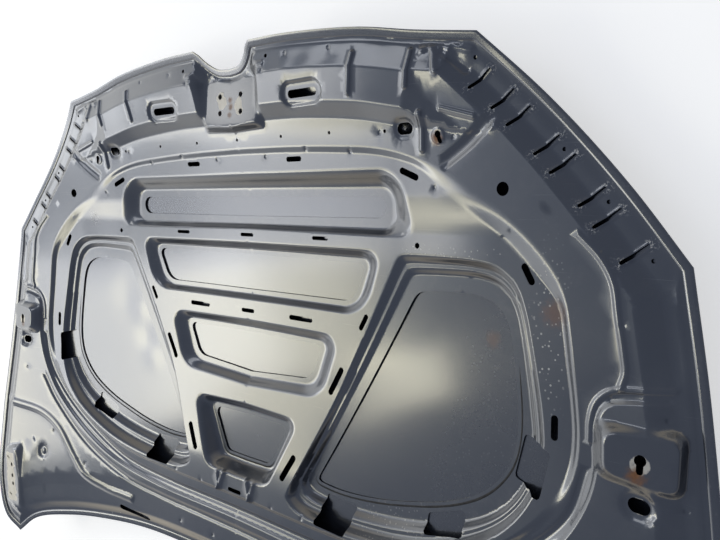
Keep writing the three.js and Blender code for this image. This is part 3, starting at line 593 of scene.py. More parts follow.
# Bolt pads: rim, floor, whether it crosses the middle line, level of its floor.
PADS = (
    (((0, 462, 0), (86, 468, 14), (72, 364, 6), (0, 362, 0)), ((0, 438, 0), (56, 446, 7), (60, 377, 6), (0, 372, 0)),
     True, LATCH_LEVEL),
    (((655, -300, 16), (727, -318, 12), (709, -454, 12), (634, -458, 16)),
     ((672, -322, 10), (715, -330, 10), (704, -444, 10), (650, -442, 10)), False, HINGE_LEVEL),
    (((611, 18, 16), (712, 24, 14), (712, -52, 14), (616, -50, 18)),
     ((632, 5, 12), (703, 10, 8), (703, -41, 8), (634, -34, 12)), False, SIDE_LEVEL),
)


class Plan:
    """The plan lines of the bonnet and the heights over them, all in mm."""

    def __init__(self) -> None:
        """Works out every line of the plan."""
        steps = {5: [NOTCH_EDGE], 7: [FRONT_EDGE, LAMP_EDGE, WING_EDGE, REAR_EDGE]}
        parts = [curve(line, step) for step, lines in steps.items() for line in lines]
        self.notch, self.front, self.lamp, self.wing, self.rear = parts
        self.half = np.vstack([parts[0]] + [p[1:] for p in parts[1:]])
        self.half[0, 0] = self.half[-1, 0] = 0.0
        self.edge = mirror_loop(self.half)
        self.front_reach = np.vstack([resample([(0, 496), (66, 495)], 7)[:-1], self.front])
        self.ring = mirror_loop(curve(RING_EDGE, 6))
        self.ring[0, 0] = 0.0
        self.pockets = [(p, p.loop(p.rim), p.loop(p.toe), p.loop(p.cut)) for p in POCKETS]
        self.lines = [(curve(n.points, 5) if n.bent else resample(n.points, 5), n) for n in LINES]
        self.steps = [(curve(n.points, 7), n) for n in STEPS]
        self.pads = []
        for rim, floor, whole, level in PADS:
            loops = [mirror_loop(rounded(c, False)) if whole else rounded(c, True) for c in (rim, floor)]
            self.pads.append((*loops, level))

    @staticmethod
    def profile(points: Corners, away: Array) -> Array:
        """Height on a profile with softened corners.

        Args:
            points: distance and height, in mm.
            away: distances to read it at.

        Returns:
            Heights in mm.
        """
        d = [p[0] for p in points]
        h = [p[1] for p in points]
        offsets = (-2.5, -1.2, 0.0, 1.2, 2.5)
        return sum(np.interp(away + o, d, h) for o in offsets) / len(offsets)

    @staticmethod
    def share(rim: Array, floor: Array, x: Array, y: Array) -> Array:
        """Share of the way from a rim to a floor.

        Args:
            rim: outer loop.
            floor: inner loop.
            x: plan places across, in mm.
            y: plan places along, in mm.

        Returns:
            0 at the rim and past it, 1 on the floor.
        """
        out = np.zeros(x.shape)
        index = within(rim, x, y, 1)
        if not len(index):
            return out
        px, py = x[index], y[index]
        in_rim = inside(rim, px, py)
        in_floor = inside(floor, px, py)
        a = distance(rim, px, py, True)
        b = distance(floor, px, py, True)
        t = a / (a + b + 1e-9)
        out[index] = np.where(in_floor, 1.0, np.where(in_rim, t, 0.0))
        return out

    def frame_height(self, xs: Array, y: Array) -> Array:
        """Height of the frame's underside.

        Args:
            xs: plan places across, in mm.
            y: plan places along, in mm.

        Returns:
            Heights in mm.
        """
        x = np.abs(xs)
        edge = distance(self.half, x, y)
        rise = np.minimum.reduce([
            self.profile(FRONT_PROFILE, distance(self.front_reach, x, y)),
            self.profile(NOTCH_PROFILE, distance(self.notch, x, y)),
            self.profile(LAMP_PROFILE, distance(self.lamp, x, y)),
            self.profile(WING_PROFILE, distance(self.wing, x, y)),
            self.profile(REAR_PROFILE, distance(self.rear, x, y)),
        ])
        land = 14.5 + 5 * smooth((y - 205) / 60) + 3 * smooth((x - 320) / 160) + 18 * smooth((-y - 30) / 200)
        land = np.minimum(land, 32.5)
        in_ring = inside(self.ring, x, y)
        wide = self.ring_step(x, y)
        step = np.where(in_ring, smooth(distance(self.ring, x, y, True) / wide), 0.0)
        rise = rise + (land - rise) * step
        for pocket, rim, toe, _ in self.pockets:
            t = self.share(rim, toe, x, y)
            drop = 0.2 * t + 0.8 * smooth(t) if pocket.whole else 0.6 * smooth(t / 0.45) + 0.4 * smooth((t - 0.6) / 0.4)
            rise = rise + (POCKET_LEVEL - rise) * drop
        away = smooth((edge - EDGE_FLANGE) / 12)
        rise = rise + away * self.details(x, y)
        rise = rise + away * self.crumple(xs, y)
        height = skin_height(x, y) + np.maximum(FLANGE_LEVEL, rise)
        for rim, floor, level in self.pads:
            t = smooth(self.share(rim, floor, x, y)) * smooth((edge - EDGE_FLANGE - 2) / 4)
            height = height + (level - height) * t
        return height

    @staticmethod
    def ring_step(x: Array, y: Array) -> Array:
        """Width of the ring's step in mm, wider at the front corners."""
        return RING_STEP + 14 * smooth((x - 350) / 60) * smooth((y - 120) / 60)

    @staticmethod
    def crumple(x: Array, y: Array) -> Array:
        """Dents of the front right corner and slight waves along the front.

        Args:
            x: plan places across, in mm.
            y: plan places along, in mm.

        Returns:
            Heights in mm.
        """
        corner = np.exp(-((x - 425) / 42) ** 2 - ((y - 425) / 26) ** 2)
        slope = np.exp(-((y - 452) / 12) ** 2) * smooth((x - 90) / 60) * smooth((440 - x) / 60)
        wave = np.sin(x / 8.3 + 0.05 * y) * np.sin(y / 8.1 - x / 26) + 0.45 * np.sin(x / 5.3 - y / 11)
        return 0.75 * corner * wave + 0.5 * slope * np.sin(x / 13.0) * np.sin(x / 31.0 + 1)

    def details(self, x: Array, y: Array) -> Array:
        """Pressed lines, steps, dents, pips and lips of the frame.

        Args:
            x: distances from the middle line in mm.
            y: plan places along, in mm.

        Returns:
            Heights in mm.
        """
        total = np.zeros(x.shape)
        for line, n in self.lines:
            index = within(line, x, y, n.half)
            away = distance(line, x[index], y[index])
            total[index] += n.height * (1 - smooth((away - n.core) / (n.half - n.core)))
        for line, n in self.steps:
            away, ends = signed(line, x, y)
            drop = smooth(0.5 - away / n.width) * np.exp(-np.maximum(0, -away) / n.reach) * smooth(ends / 45)
            drop = np.where(away < -3.2 * n.reach, 0.0, drop)
            total -= n.height * drop
        for cx, cy, flat, radius, height in DIMPLES:
            total += height * (1 - smooth((np.hypot(x - cx, y - cy) - flat) / (radius - flat)))
        for cx, cy in LAMP_SLITS:
            near = np.hypot(x - cx, y - cy) < 30
            if near.any():
                away = distance(slit_ends(cx, cy), x[near], y[near])
                total[near] += 0.8 * (1 - smooth((away - 2.2) / 4))
        return total


def slit_ends(x: float, y: float) -> list[tuple[float, float]]:
    """Both ends of a lamp slit with its middle at x, y in mm."""
    u = 17 * np.array([math.cos(math.radians(SLIT_TURN)), math.sin(math.radians(SLIT_TURN))])
    return [(x - u[0], y - u[1]), (x + u[0], y + u[1])]


class Finish(Enum):
    """The record's material slots."""
    SKIN = "skin_paint"
    FRAME = "frame_paint"
    PLATE = "plate_steel"
    NUT = "nut_steel"
    MASTIC = "mastic"


@dataclass(frozen=True)
class Paint:
    """Colours and gloss of the painted steel."""
    colour: Triple = (0.058, 0.068, 0.090)
    fade: Triple = (0.074, 0.083, 0.102)
    metallic: float = 0.7
    roughness: float = 0.27
    coat: float = 1.0
    primer: Triple = (0.55, 0.55, 0.53)
    bare_dark: Triple = (0.52, 0.49, 0.42)
    bare_light: Triple = (0.72, 0.70, 0.64)
    rust: Triple = (0.16, 0.055, 0.018)
    rust_light: Triple = (0.27, 0.13, 0.045)
    dust: Triple = (0.34, 0.32, 0.28)


@dataclass(frozen=True)
class Steel:
    """Colour and share of rust of a plain steel."""
    colour: Triple
    rust_share: float
    rust: Triple = (0.2, 0.09, 0.035)


@dataclass(frozen=True)
class Mastic:
    """Darkest and palest colour of the beads."""
    dark: Triple = (0.018, 0.018, 0.019)
    pale: Triple = (0.05, 0.048, 0.045)


class Nodes:
    """Short hand for one node tree."""

    def __init__(self, tree: bpy.types.NodeTree) -> None:
        """Keeps the tree to work on."""
        self.tree = tree
        self.spot = 0

    def new(self, kind: str, **settings: str | bool | bpy.types.NodeTree) -> bpy.types.Node:
        """Adds a node.

        Args:
            kind: its type.
            settings: plain properties and their values.

        Returns:
            The node.
        """
        node = self.tree.nodes.new(kind)
        node.location = (self.spot * 180, 0)
        self.spot += 1
        for key, value in settings.items():
            setattr(node, key, value)
        return node

    def link(self, a: Socket, b: Socket) -> None:
        """Joins two sockets."""
        self.tree.links.new(a, b)

    def put(self, value: Value, socket: Socket) -> None:
        """Links a socket, or sets a constant.

        Args:
            value: an output, a constant, or None to leave it.
            socket: the input.
        """
        if isinstance(value, bpy.types.NodeSocket):
            self.link(value, socket)
        elif value is not None:
            socket.default_value = value

    def math(self, operation: str, a: Value, b: Value = None, c: Value = None, clamp: bool = False) -> Socket:
        """Adds a math node.

        Args:
            operation: what it does.
            a: first value.
            b: second value.
            c: third value.
            clamp: whether the result stays in 0..1.

        Returns:
            Its result.
        """
        node = self.new("ShaderNodeMath", operation=operation, use_clamp=clamp)
        for value, socket in zip((a, b, c), node.inputs):
            self.put(value, socket)
        return node.outputs[0]

    def mix(self, factor: Value, a: Value, b: Value) -> Socket:
        """Mixes two colours.

        Args:
            factor: share of the second.
            a: first colour.
            b: second colour.

        Returns:
            The mixed colour.
        """
        node = self.new("ShaderNodeMix", data_type="RGBA")
        self.put(factor, node.inputs["Factor"])
        self.put(a if isinstance(a, bpy.types.NodeSocket) else (*a, 1.0), node.inputs[6])
        self.put(b if isinstance(b, bpy.types.NodeSocket) else (*b, 1.0), node.inputs[7])
        return node.outputs[2]

    def noise(self, vector: Socket, scale: float, detail: float = 3.0, rough: float = 0.55) -> Socket:
        """Adds a noise texture.

        Args:
            vector: where it is read.
            scale: cells a metre.
            detail: octaves.
            rough: weight of the fine ones.

        Returns:
            Its value.
        """
        node = self.new("ShaderNodeTexNoise")
        self.put(vector, node.inputs["Vector"])
        node.inputs["Scale"].default_value = scale
        node.inputs["Detail"].default_value = detail
        node.inputs["Roughness"].default_value = rough
        return node.outputs["Fac"]

    def ramp(self, value: Value, low: float, high: float, to_low: float = 0.0, to_high: float = 1.0) -> Socket:
        """Maps a range smoothly on another.

        Args:
            value: what is mapped.
            low: start of its range.
            high: end of its range.
            to_low: result at low.
            to_high: result at high.

        Returns:
            The mapped value.
        """
        node = self.new("ShaderNodeMapRange", interpolation_type="SMOOTHSTEP")
        self.put(value, node.inputs["Value"])
        node.inputs["From Min"].default_value = low
        node.inputs["From Max"].default_value = high
        node.inputs["To Min"].default_value = to_low
        node.inputs["To Max"].default_value = to_high
        return node.outputs["Result"]

    def attribute(self, name: str) -> Socket:
        """A mesh attribute's value."""
        node = self.new("ShaderNodeAttribute", attribute_name=name)
        return node.outputs["Fac"]

    def bump(self, height: Socket, strength: float, reach: float, shader: bpy.types.Node) -> None:
        """Puts a bump on a shader's normal.

        Args:
            height: the relief.
            strength: its strength.
            reach: its distance in metres.
            shader: the shader.
        """
        node = self.new("ShaderNodeBump")
        node.inputs["Strength"].default_value = strength
        node.inputs["Distance"].default_value = reach
        self.link(height, node.inputs["Height"])
        self.link(node.outputs["Normal"], shader.inputs["Normal"])

    def group(self, tree: bpy.types.NodeTree, **values: Value) -> bpy.types.bpy_prop_collection:
        """Places a node group.

        Args:
            tree: the group.
            values: its inputs by name.

        Returns:
            Its outputs.
        """
        node = self.new("ShaderNodeGroup", node_tree=tree)
        for key, value in values.items():
            self.put(value, node.inputs[key.replace("_", " ")])
        return node.outputs


def new_group(name: str, inputs: list[tuple], outputs: list[str]) -> tuple:
    """An empty node group with named sockets.

    Args:
        name: the group's name.
        inputs: pairs of socket name and default value.
        outputs: socket names, all values.

    Returns:
        The tree, its helper, its input node and its output node.
    """
    tree = bpy.data.node_groups.new(name, "ShaderNodeTree")
    for label, value in inputs:
        kind = "NodeSocketVector" if isinstance(value, tuple) else "NodeSocketFloat"
        socket = tree.interface.new_socket(label, in_out="INPUT", socket_type=kind)
        socket.default_value = value
    for label in outputs:
        tree.interface.new_socket(label, in_out="OUTPUT", socket_type="NodeSocketFloat")
    nodes = Nodes(tree)
    return tree, nodes, nodes.new("NodeGroupInput"), nodes.new("NodeGroupOutput")


class Library:
    """Shared node groups and the materials made with them."""

    def __init__(self) -> None:
        """Builds the shared groups."""
        self.stain = self._stain()
        self.chips = self._chips()
        self.scratches = self._scratches()

    @staticmethod
    def _stain() -> bpy.types.NodeTree:
        """A ragged patch round a point of the plan.

        Returns:
            The group, with a Mask.
        """
        sockets = [("Vector", (0.0, 0.0, 0.0)), ("Centre", (0.0, 0.0, 0.0)), ("Radius", 0.01), ("Ragged", 0.5)]
        tree, n, source, sink = new_group("Stain", sockets, ["Mask"])
        gap = n.new("ShaderNodeVectorMath", operation="SUBTRACT")
        n.link(source.outputs["Vector"], gap.inputs[0])
        n.link(source.outputs["Centre"], gap.inputs[1])
        flat = n.new("ShaderNodeVectorMath", operation="MULTIPLY")
        n.link(gap.outputs[0], flat.inputs[0])
        flat.inputs[1].default_value = (1.0, 1.0, 0.0)
        length = n.new("ShaderNodeVectorMath", operation="LENGTH")
        n.link(flat.outputs[0], length.inputs[0])
        wobble = n.noise(source.outputs["Vector"], 160.0, 4.0)
        spread = n.math("MULTIPLY", n.math("SUBTRACT", wobble, 0.5), source.outputs["Ragged"])
        ratio = n.math("ADD", n.math("DIVIDE", length.outputs["Value"], source.outputs["Radius"]), spread)
        n.link(n.ramp(ratio, 0.15, 1.15, 1.0, 0.0), sink.inputs["Mask"])
        return tree

    @staticmethod
    def _chips() -> bpy.types.NodeTree:
        """Small chips where paint is thin, more of them as the amount grows.

        Returns:
            The group, with a Mask.
        """
        sockets = [("Vector", (0.0, 0.0, 0.0)), ("Amount", 0.5), ("Size", 90.0)]
        tree, n, source, sink = new_group("Chips", sockets, ["Mask"])
        cells = n.new("ShaderNodeTexNoise")
        n.link(source.outputs["Vector"], cells.inputs["Vector"])
        n.link(source.outputs["Size"], cells.inputs["Scale"])
        cells.inputs["Detail"].default_value = 5.0
        cells.inputs["Roughness"].default_value = 0.7
        low = n.math("SUBTRACT", 0.84, n.math("MULTIPLY", source.outputs["Amount"], 0.22))
        n.link(n.ramp(n.math("SUBTRACT", cells.outputs["Fac"], low), 0.0, 0.02), sink.inputs["Mask"])
        return tree

    @staticmethod
    def _scratches() -> bpy.types.NodeTree:
        """Long fine scuffs in two directions.

        Returns:
            The group, with a Mask.
        """
        tree, n, source, sink = new_group("Scratches", [("Vector", (0.0, 0.0, 0.0)), ("Amount", 0.3)], ["Mask"])
        total = None
        for turn, scale in ((0.5, 5.0), (-0.9, 7.0)):
            place = n.new("ShaderNodeMapping")
            n.link(source.outputs["Vector"], place.inputs["Vector"])
            place.inputs["Rotation"].default_value = (0, 0, turn)
            place.inputs["Scale"].default_value = (2.0, 140.0, 1.0)
            lines = n.noise(place.outputs["Vector"], scale, 2.0)
            mask = n.ramp(lines, 0.72, 0.75)
            total = mask if total is None else n.math("MAXIMUM", total, mask)
        n.link(n.math("MULTIPLY", total, source.outputs["Amount"]), sink.inputs["Mask"])
        return tree

    @staticmethod
    def material(name: str) -> tuple[Material, Nodes, bpy.types.Node]:
        """A new node material.

        Args:
            name: its name.

        Returns:
            The material, its helper and its Principled shader.
        """
        material = bpy.data.materials.new(name)
        material.use_nodes = True
        nodes = Nodes(material.node_tree)
        return material, nodes, material.node_tree.nodes["Principled BSDF"]

    def paint(self, name: str, finish: Paint, stains: Corners, masked: bool) -> Material:
        """Dark metallic paint with dust, chips, scuffs, rust spots and, on the frame, bare pads.

        Args:
            name: the material's name.
            finish: its values.
            stains: x, y, radius and strength of rust spots, in metres.
            masked: whether the mesh carries the mask of bare pads.

        Returns:
            The material.
        """
        material, n, shader = self.material(name)
        place = n.new("ShaderNodeTexCoord").outputs["Object"]
        broad = n.noise(place, 3.2, 4.0)
        fine = n.noise(place, 700.0, 2.0)
        colour = n.mix(n.ramp(broad, 0.35, 0.7), finish.colour, finish.fade)
        worn = n.attribute("wear")
        chips = n.group(self.chips, Vector=place, Amount=worn, Size=120.0)["Mask"]
        amount = n.math("ADD", n.math("MULTIPLY", n.attribute("low"), 0.10), 0.05)
        dusty = n.math("MULTIPLY", n.ramp(n.noise(place, 38.0, 7.0, 0.75), 0.45, 0.9), amount)
        drops = n.new("ShaderNodeTexVoronoi", feature="F1")
        n.link(place, drops.inputs["Vector"])
        drops.inputs["Scale"].default_value = 150.0
        few = n.math("MULTIPLY", n.ramp(n.noise(place, 60.0, 2.0), 0.30, 0.42), n.attribute("specks"))
        speckle = n.math("MULTIPLY", n.ramp(drops.outputs["Distance"], 0.15, 0.24, 1.0, 0.0), few)
        crust = n.math("MULTIPLY", n.ramp(n.noise(place, 330.0, 5.0, 0.7), 0.53, 0.60), n.attribute("residue"))
        scuff = n.group(self.scratches, Vector=place, Amount=0.3)["Mask"]
        pale = n.math("MAXIMUM", n.math("MAXIMUM", chips, crust), n.math("MULTIPLY", speckle, 0.9))
        covered = n.math("MAXIMUM", pale, dusty)
        colour = n.mix(dusty, colour, finish.dust)
        colour = n.mix(n.math("MULTIPLY", scuff, 0.25), colour, finish.primer)
        colour = n.mix(pale, colour, finish.primer)
        metal = n.math("MULTIPLY", n.math("SUBTRACT", 1.0, covered), finish.metallic)
        gloss = n.ramp(broad, 0.2, 0.8, finish.roughness, finish.roughness + 0.08)
        rough = n.math("ADD", n.math("MULTIPLY", covered, 0.4), gloss)
        if masked:
            ragged = n.math("MULTIPLY", n.math("SUBTRACT", n.noise(place, 220.0, 4.0), 0.5), 0.4)
            bare = n.ramp(n.math("ADD", n.attribute("bare"), ragged), 0.42, 0.6)
            colour = n.mix(bare, colour, n.mix(n.noise(place, 60.0, 5.0), finish.bare_dark, finish.bare_light))
            rough = n.math("ADD", rough, n.math("MULTIPLY", bare, 0.25))
        rust = None
        for x, y, radius, strength in stains:
            mask = n.group(self.stain, Vector=place, Centre=(x, y, 0.0), Radius=radius, Ragged=1.1)["Mask"]
            mask = n.math("MULTIPLY", mask, strength)
            rust = mask if rust is None else n.math("MAXIMUM", rust, mask)
        if rust is not None:
            brown = n.mix(n.noise(place, 300.0, 4.0), finish.rust, finish.rust_light)
            colour = n.mix(rust, colour, brown)
            rough = n.math("ADD", rough, n.math("MULTIPLY", rust, 0.4), clamp=True)
            metal = n.math("MULTIPLY", metal, n.math("SUBTRACT", 1.0, rust))
        n.link(colour, shader.inputs["Base Color"])
        n.link(metal, shader.inputs["Metallic"])
        n.link(rough, shader.inputs["Roughness"])
        uncoated = pale if rust is None else n.math("MAXIMUM", pale, rust)
        uncoated = n.math("MAXIMUM", uncoated, bare) if masked else uncoated
        coat = n.math("MULTIPLY", n.math("SUBTRACT", 1.0, uncoated, clamp=True), finish.coat)
        n.link(coat, shader.inputs["Coat Weight"])
        shader.inputs["Coat Roughness"].default_value = 0.13
        shader.inputs["Coat IOR"].default_value = 1.75
        chipped = n.math("MULTIPLY", n.math("MULTIPLY", pale, pale), -0.6)
        small = n.math("ADD", n.math("MULTIPLY", fine, 0.15), chipped)
        n.bump(n.math("ADD", n.noise(place, 70.0, 2.0), small), 0.12, 0.0003, shader)
        return material

    def steel(self, name: str, finish: Steel) -> Material:
        """Plain steel with grain, stains and a little rust.

        Args:
            name: the material's name.
            finish: its values.

        Returns:
            The material.
        """
        material, n, shader = self.material(name)
        place = n.new("ShaderNodeTexCoord").outputs["Object"]
        patches = n.noise(place, 55.0, 5.0)
        share = finish.rust_share
        brown = n.ramp(n.noise(place, 120.0, 5.0, 0.7), 0.62 - share, 0.70 - share * 0.6)
        base = n.mix(patches, finish.colour, tuple(c * 0.72 for c in finish.colour))
        n.link(n.mix(brown, base, finish.rust), shader.inputs["Base Color"])
        n.link(n.math("SUBTRACT", 0.85, n.math("MULTIPLY", brown, 0.8)), shader.inputs["Metallic"])
        rough = n.math("ADD", n.ramp(patches, 0.3, 0.7, 0.34, 0.5), n.math("MULTIPLY", brown, 0.3))
        n.link(rough, shader.inputs["Roughness"])
        n.bump(n.noise(place, 900.0, 3.0), 0.3, 0.0004, shader)
        return material

    def mastic(self, name: str, finish: Mastic) -> Material:
        """Dark matt rubbery bead with lumps.

        Args:
            name: the material's name.
            finish: its values.

        Returns:
            The material.
        """
        material, n, shader = self.material(name)
        place = n.new("ShaderNodeTexCoord").outputs["Object"]
        n.link(n.mix(n.noise(place, 60.0, 4.0), finish.dark, finish.pale), shader.inputs["Base Color"])
        n.link(n.ramp(n.noise(place, 200.0), 0.3, 0.7, 0.7, 0.95), shader.inputs["Roughness"])
        n.bump(n.noise(place, 140.0, 3.0), 0.5, 0.001, shader)
        return material


def to_object(name: str, bm: bmesh.types.BMesh, material: Material,
              nodes: list[str]) -> bpy.types.Object:
    """Makes a riding object from a bmesh and lets it stand for CAD nodes.

    Args:
        name: the piece's name.
        bm: the mesh in metres, freed here.
        material: its material.
        nodes: names of the CAD nodes it stands for.

    Returns:
        The object.
    """
    mesh = bpy.data.meshes.new(name)
    bm.to_mesh(mesh)
    bm.free()
    piece = bpy.data.objects.new(name, mesh)
    bpy.context.scene.collection.objects.link(piece)
    mesh.materials.append(material)
    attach(piece, "root")
    if nodes:
        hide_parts(*nodes)
    log.info("%s: %d faces", name, len(mesh.polygons))
    return piece


def store(mesh: bpy.types.Mesh, name: str, values: Array) -> None:
    """Keeps one value a point as a mesh attribute."""
    layer = mesh.attributes.new(name, "FLOAT", "POINT")
    layer.data.foreach_set("value", np.asarray(values, np.float32))


def plan_places(mesh: bpy.types.Mesh) -> tuple[Array, Array]:
    """Plan places of a mesh's points.

    Args:
        mesh: a mesh in metres.

    Returns:
        Their x and y in mm.
    """
    co = np.empty(len(mesh.vertices) * 3)
    mesh.vertices.foreach_get("co", co)
    co = co.reshape(-1, 3) / MM
    return co[:, 0], co[:, 1] - SHIFT_Y


def add_points(bm: bmesh.types.BMesh, places: Array, heights: Array) -> list[bmesh.types.BMVert]:
    """Adds plan places at heights in mm."""
    return [bm.verts.new((x * MM, (y + SHIFT_Y) * MM, z * MM)) for (x, y), z in zip(places, heights)]


def join_rows(bm: bmesh.types.BMesh, pairs: Iterable[tuple[list, list]]) -> None:
    """Closes the strips between rings of points.

    Args:
        bm: the mesh.
        pairs: neighbouring rings of as many points.
    """
    for a, b in pairs:
        for i in range(len(a)):
            j = (i + 1) % len(a)
            bm.faces.new((a[i], a[j], b[j], b[i]))


def smooth_faces(bm: bmesh.types.BMesh) -> None:
    """Turns a mesh's faces outwards and shades them smooth."""
    bmesh.ops.recalc_face_normals(bm, faces=bm.faces)
    for face in bm.faces:
        face.smooth = True


def triangulate(points: Array, loops: list[Array]) -> tuple[Array, Array]:
    """Triangles over plan points.

    Args:
        points: free points in mm.
        loops: closed loops whose edges are kept.

    Returns:
        All points, and three of them a face.
    """
    verts = [Vector(p) for p in points]
    edges = []
    for loop in loops:
        first = len(verts)
        verts += [Vector(p) for p in loop]
        count = len(loop)
        edges += [(first + i, first + (i + 1) % count) for i in range(count)]
    found, _, faces, _, _, _ = delaunay_2d_cdt(verts, edges, [], 0, 1e-4)
    return np.array([(v.x, v.y) for v in found]), np.array(faces)


@dataclass
class FramePanel:
    """The inner frame: one pressing."""
    plan: Plan
    thickness: float = FRAME_THICKNESS
    margin: float = FRAME_MARGIN
    bolt_radius: float = 4.5
    grid: float = 9.5

    def outlines(self) -> list[Array]:
        """Holes of the frame on both sides.

        Returns:
            Closed loops in mm.
        """
        shapes = [long_hole(*slot) for slot in SLOTS]
        shapes += [circle(*hole) for hole in ROUND_HOLES]
        shapes += [keyhole(*hole) for hole in KEYHOLES]
        shapes += [long_hole(x, y, SLIT_LENGTH, SLIT_WIDTH, SLIT_TURN, 4) for x, y in LAMP_SLITS]
        shapes += [subdivide(rounded([(x, y, 5) for x, y in window], True, 4.0), 4) for window in WINDOWS]
        shapes += [circle(x, y, self.bolt_radius) for x, y in HINGE_BOLTS]
        return both_sides(shapes) + [circle(x, y, self.bolt_radius) for x, y in LATCH_BOLTS]

    def points(self) -> tuple[tuple[Array, float], ...]:
        """Plan points: small features, pressed lines, then a grid.

        Returns:
            Sets of points, each with its least gap in mm.
        """
        plan = self.plan
        small = []
        for x, y, flat, radius, _ in DIMPLES:
            small += [circle(x, y, r, max(1, int(2.6 * r))) for r in (0.01, flat, (flat + radius) / 2, radius)]
        small += [long_hole(x, y, SLIT_LENGTH + 2 * g, SLIT_WIDTH + 2 * g, SLIT_TURN, 3)
                  for x, y in LAMP_SLITS for g in (1.7, 3.6, 5.5)]
        small += [keyhole(x, y, r + g, w + g, l + g * 0.6, t) for x, y, r, w, l, t in KEYHOLES for g in (2.5, 5.5)]
        small += [long_hole(x, y, l + 5, w + 5, t, 3) for x, y, l, w, t in SLOTS]
        for line, n in plan.lines:
            middle = (n.core + n.half) / 2
            if not n.bent:
                (x0, y0), (x1, y1) = n.points
                turn = math.degrees(math.atan2(y1 - y0, x1 - x0))
                run = math.hypot(x1 - x0, y1 - y0)
                small += [long_hole((x0 + x1) / 2, (y0 + y1) / 2, run + 2 * d, 2 * d, turn, 3)
                          for d in (n.core, middle, n.half) if d > 2]
            small += [offset(resample(line, 3.5), side) for side in (0.0, middle, -middle, n.half, -n.half)]
        lines = []
        for line, n in plan.steps:
            lines += [offset(resample(line, 4.5), share * n.width) for share in (-0.55, -0.28, 0.0, 0.28, 0.55)]
        for rim, floor, _ in plan.pads:
            lines += between(rim, floor, 4, (0.0, 0.13, 0.3, 0.5, 0.7, 0.87))
        for pocket, rim, toe, _ in plan.pockets:
            shares = (-0.15, 0.0, 0.17, 0.34, 0.5, 0.66, 0.83, 1.14) if pocket.whole else (
                -0.08, 0.0, 0.08, 0.17, 0.27, 0.37, 0.46, 0.58, 0.68, 0.78, 0.88, 1.08)
            lines += between(rim, toe, 5, shares)
        ring = resample(plan.ring, 4.5, True)
        width = plan.ring_step(np.abs(ring[:, 0]), ring[:, 1])[:, None]
        lines += [ring + (inset(ring, 1.0) - ring) * (width * t) for t in (-0.1, 0.08, 0.22, 0.4, 0.6, 0.78, 0.92, 1.1)]
        runs = (
            (plan.front_reach, (14.5, 17.5, 21, 27, 37, 47, 50, 53, 70, 85, 93, 96, 99, 105, 110, 114, 117, 120)),
            (plan.notch, (14.5, 18, 21, 25, 31, 37)),
            (plan.lamp, (14.5, 18, 22, 26, 31, 36, 39, 42, 46, 53, 60, 63, 66, 69, 100)),
            (plan.wing, (14.5, 17, 20, 23, 29, 32, 35, 45, 55, 59, 62, 65)),
            (plan.rear, (14.5, 18, 21, 24, 29, 33, 36, 45, 57, 67, 70, 73, 90, 110, 122, 126)),
        )
        for line, steps in runs:
            fine = resample(line, 6.5)
            lines += [offset(fine, away) for away in steps]
        g = self.grid
        xs, ys = np.meshgrid(np.arange(g / 2, 766, g), np.arange(-508, 498, g))
        return (np.vstack(small), 1.3), (np.vstack(lines), 1.9), (np.column_stack([xs.ravel(), ys.ravel()]), 6.4)

    def build(self, material: Material) -> bpy.types.Object:
        """The frame panel with its masks.

        Args:
            material: what it is made of.

        Returns:
            The riding object.
        """
        plan = self.plan
        rim = inset(plan.edge, self.margin)
        cuts = []
        for pocket, _, _, cut in plan.pockets:
            loop = resample(cut, 5, True)
            cuts.append(loop)
            if not pocket.whole:
                cuts.append(loop[::-1] * [-1, 1])
        holes = self.outlines()
        pts = thin([(p[p[:, 0] >= 0], gap) for p, gap in self.points()])
        pts = pts[inside(rim, pts[:, 0], pts[:, 1])]
        pts = pts[distance(rim, pts[:, 0], pts[:, 1], True) > 2.5]
        pts = clear_of(cuts + holes, pts, 1.6)
        right = pts[pts[:, 0] > 1.0]
        middle = clear_of(cuts + holes, np.column_stack([np.zeros(130), np.linspace(-385, 455, 130)]), 2)
        pts = np.vstack([right, right * [-1, 1], middle])
        loops = [rim] + cuts + holes
        flat, faces = triangulate(pts, loops)
        centres = flat[faces].mean(axis=1)
        use = inside(rim, centres[:, 0], centres[:, 1])
        for loop in loops[1:]:
            use &= ~inside(loop, centres[:, 0], centres[:, 1])
        faces = faces[use]
        height = plan.frame_height(flat[:, 0], flat[:, 1]) + self.thickness
        bm = bmesh.new()
        made = add_points(bm, flat, height)
        for a, b, c in faces:
            bm.faces.new((made[a], made[b], made[c]))
        bmesh.ops.delete(bm, geom=[v for v in bm.verts if not v.link_faces], context="VERTS")
        bmesh.ops.recalc_face_normals(bm, faces=bm.faces)
        if sum(f.normal.z for f in bm.faces) < 0:
            bmesh.ops.reverse_faces(bm, faces=bm.faces)
        bmesh.ops.solidify(bm, geom=bm.faces, thickness=self.thickness * MM)
        for f in bm.faces:
            f.smooth = True
        piece = to_object("frame_panel", bm, material, ["inner_frame"])
        self.masks(piece.data)
        mark_sharp(piece.data, 40)
        shade(piece.data, plan.frame_height)
        return piece

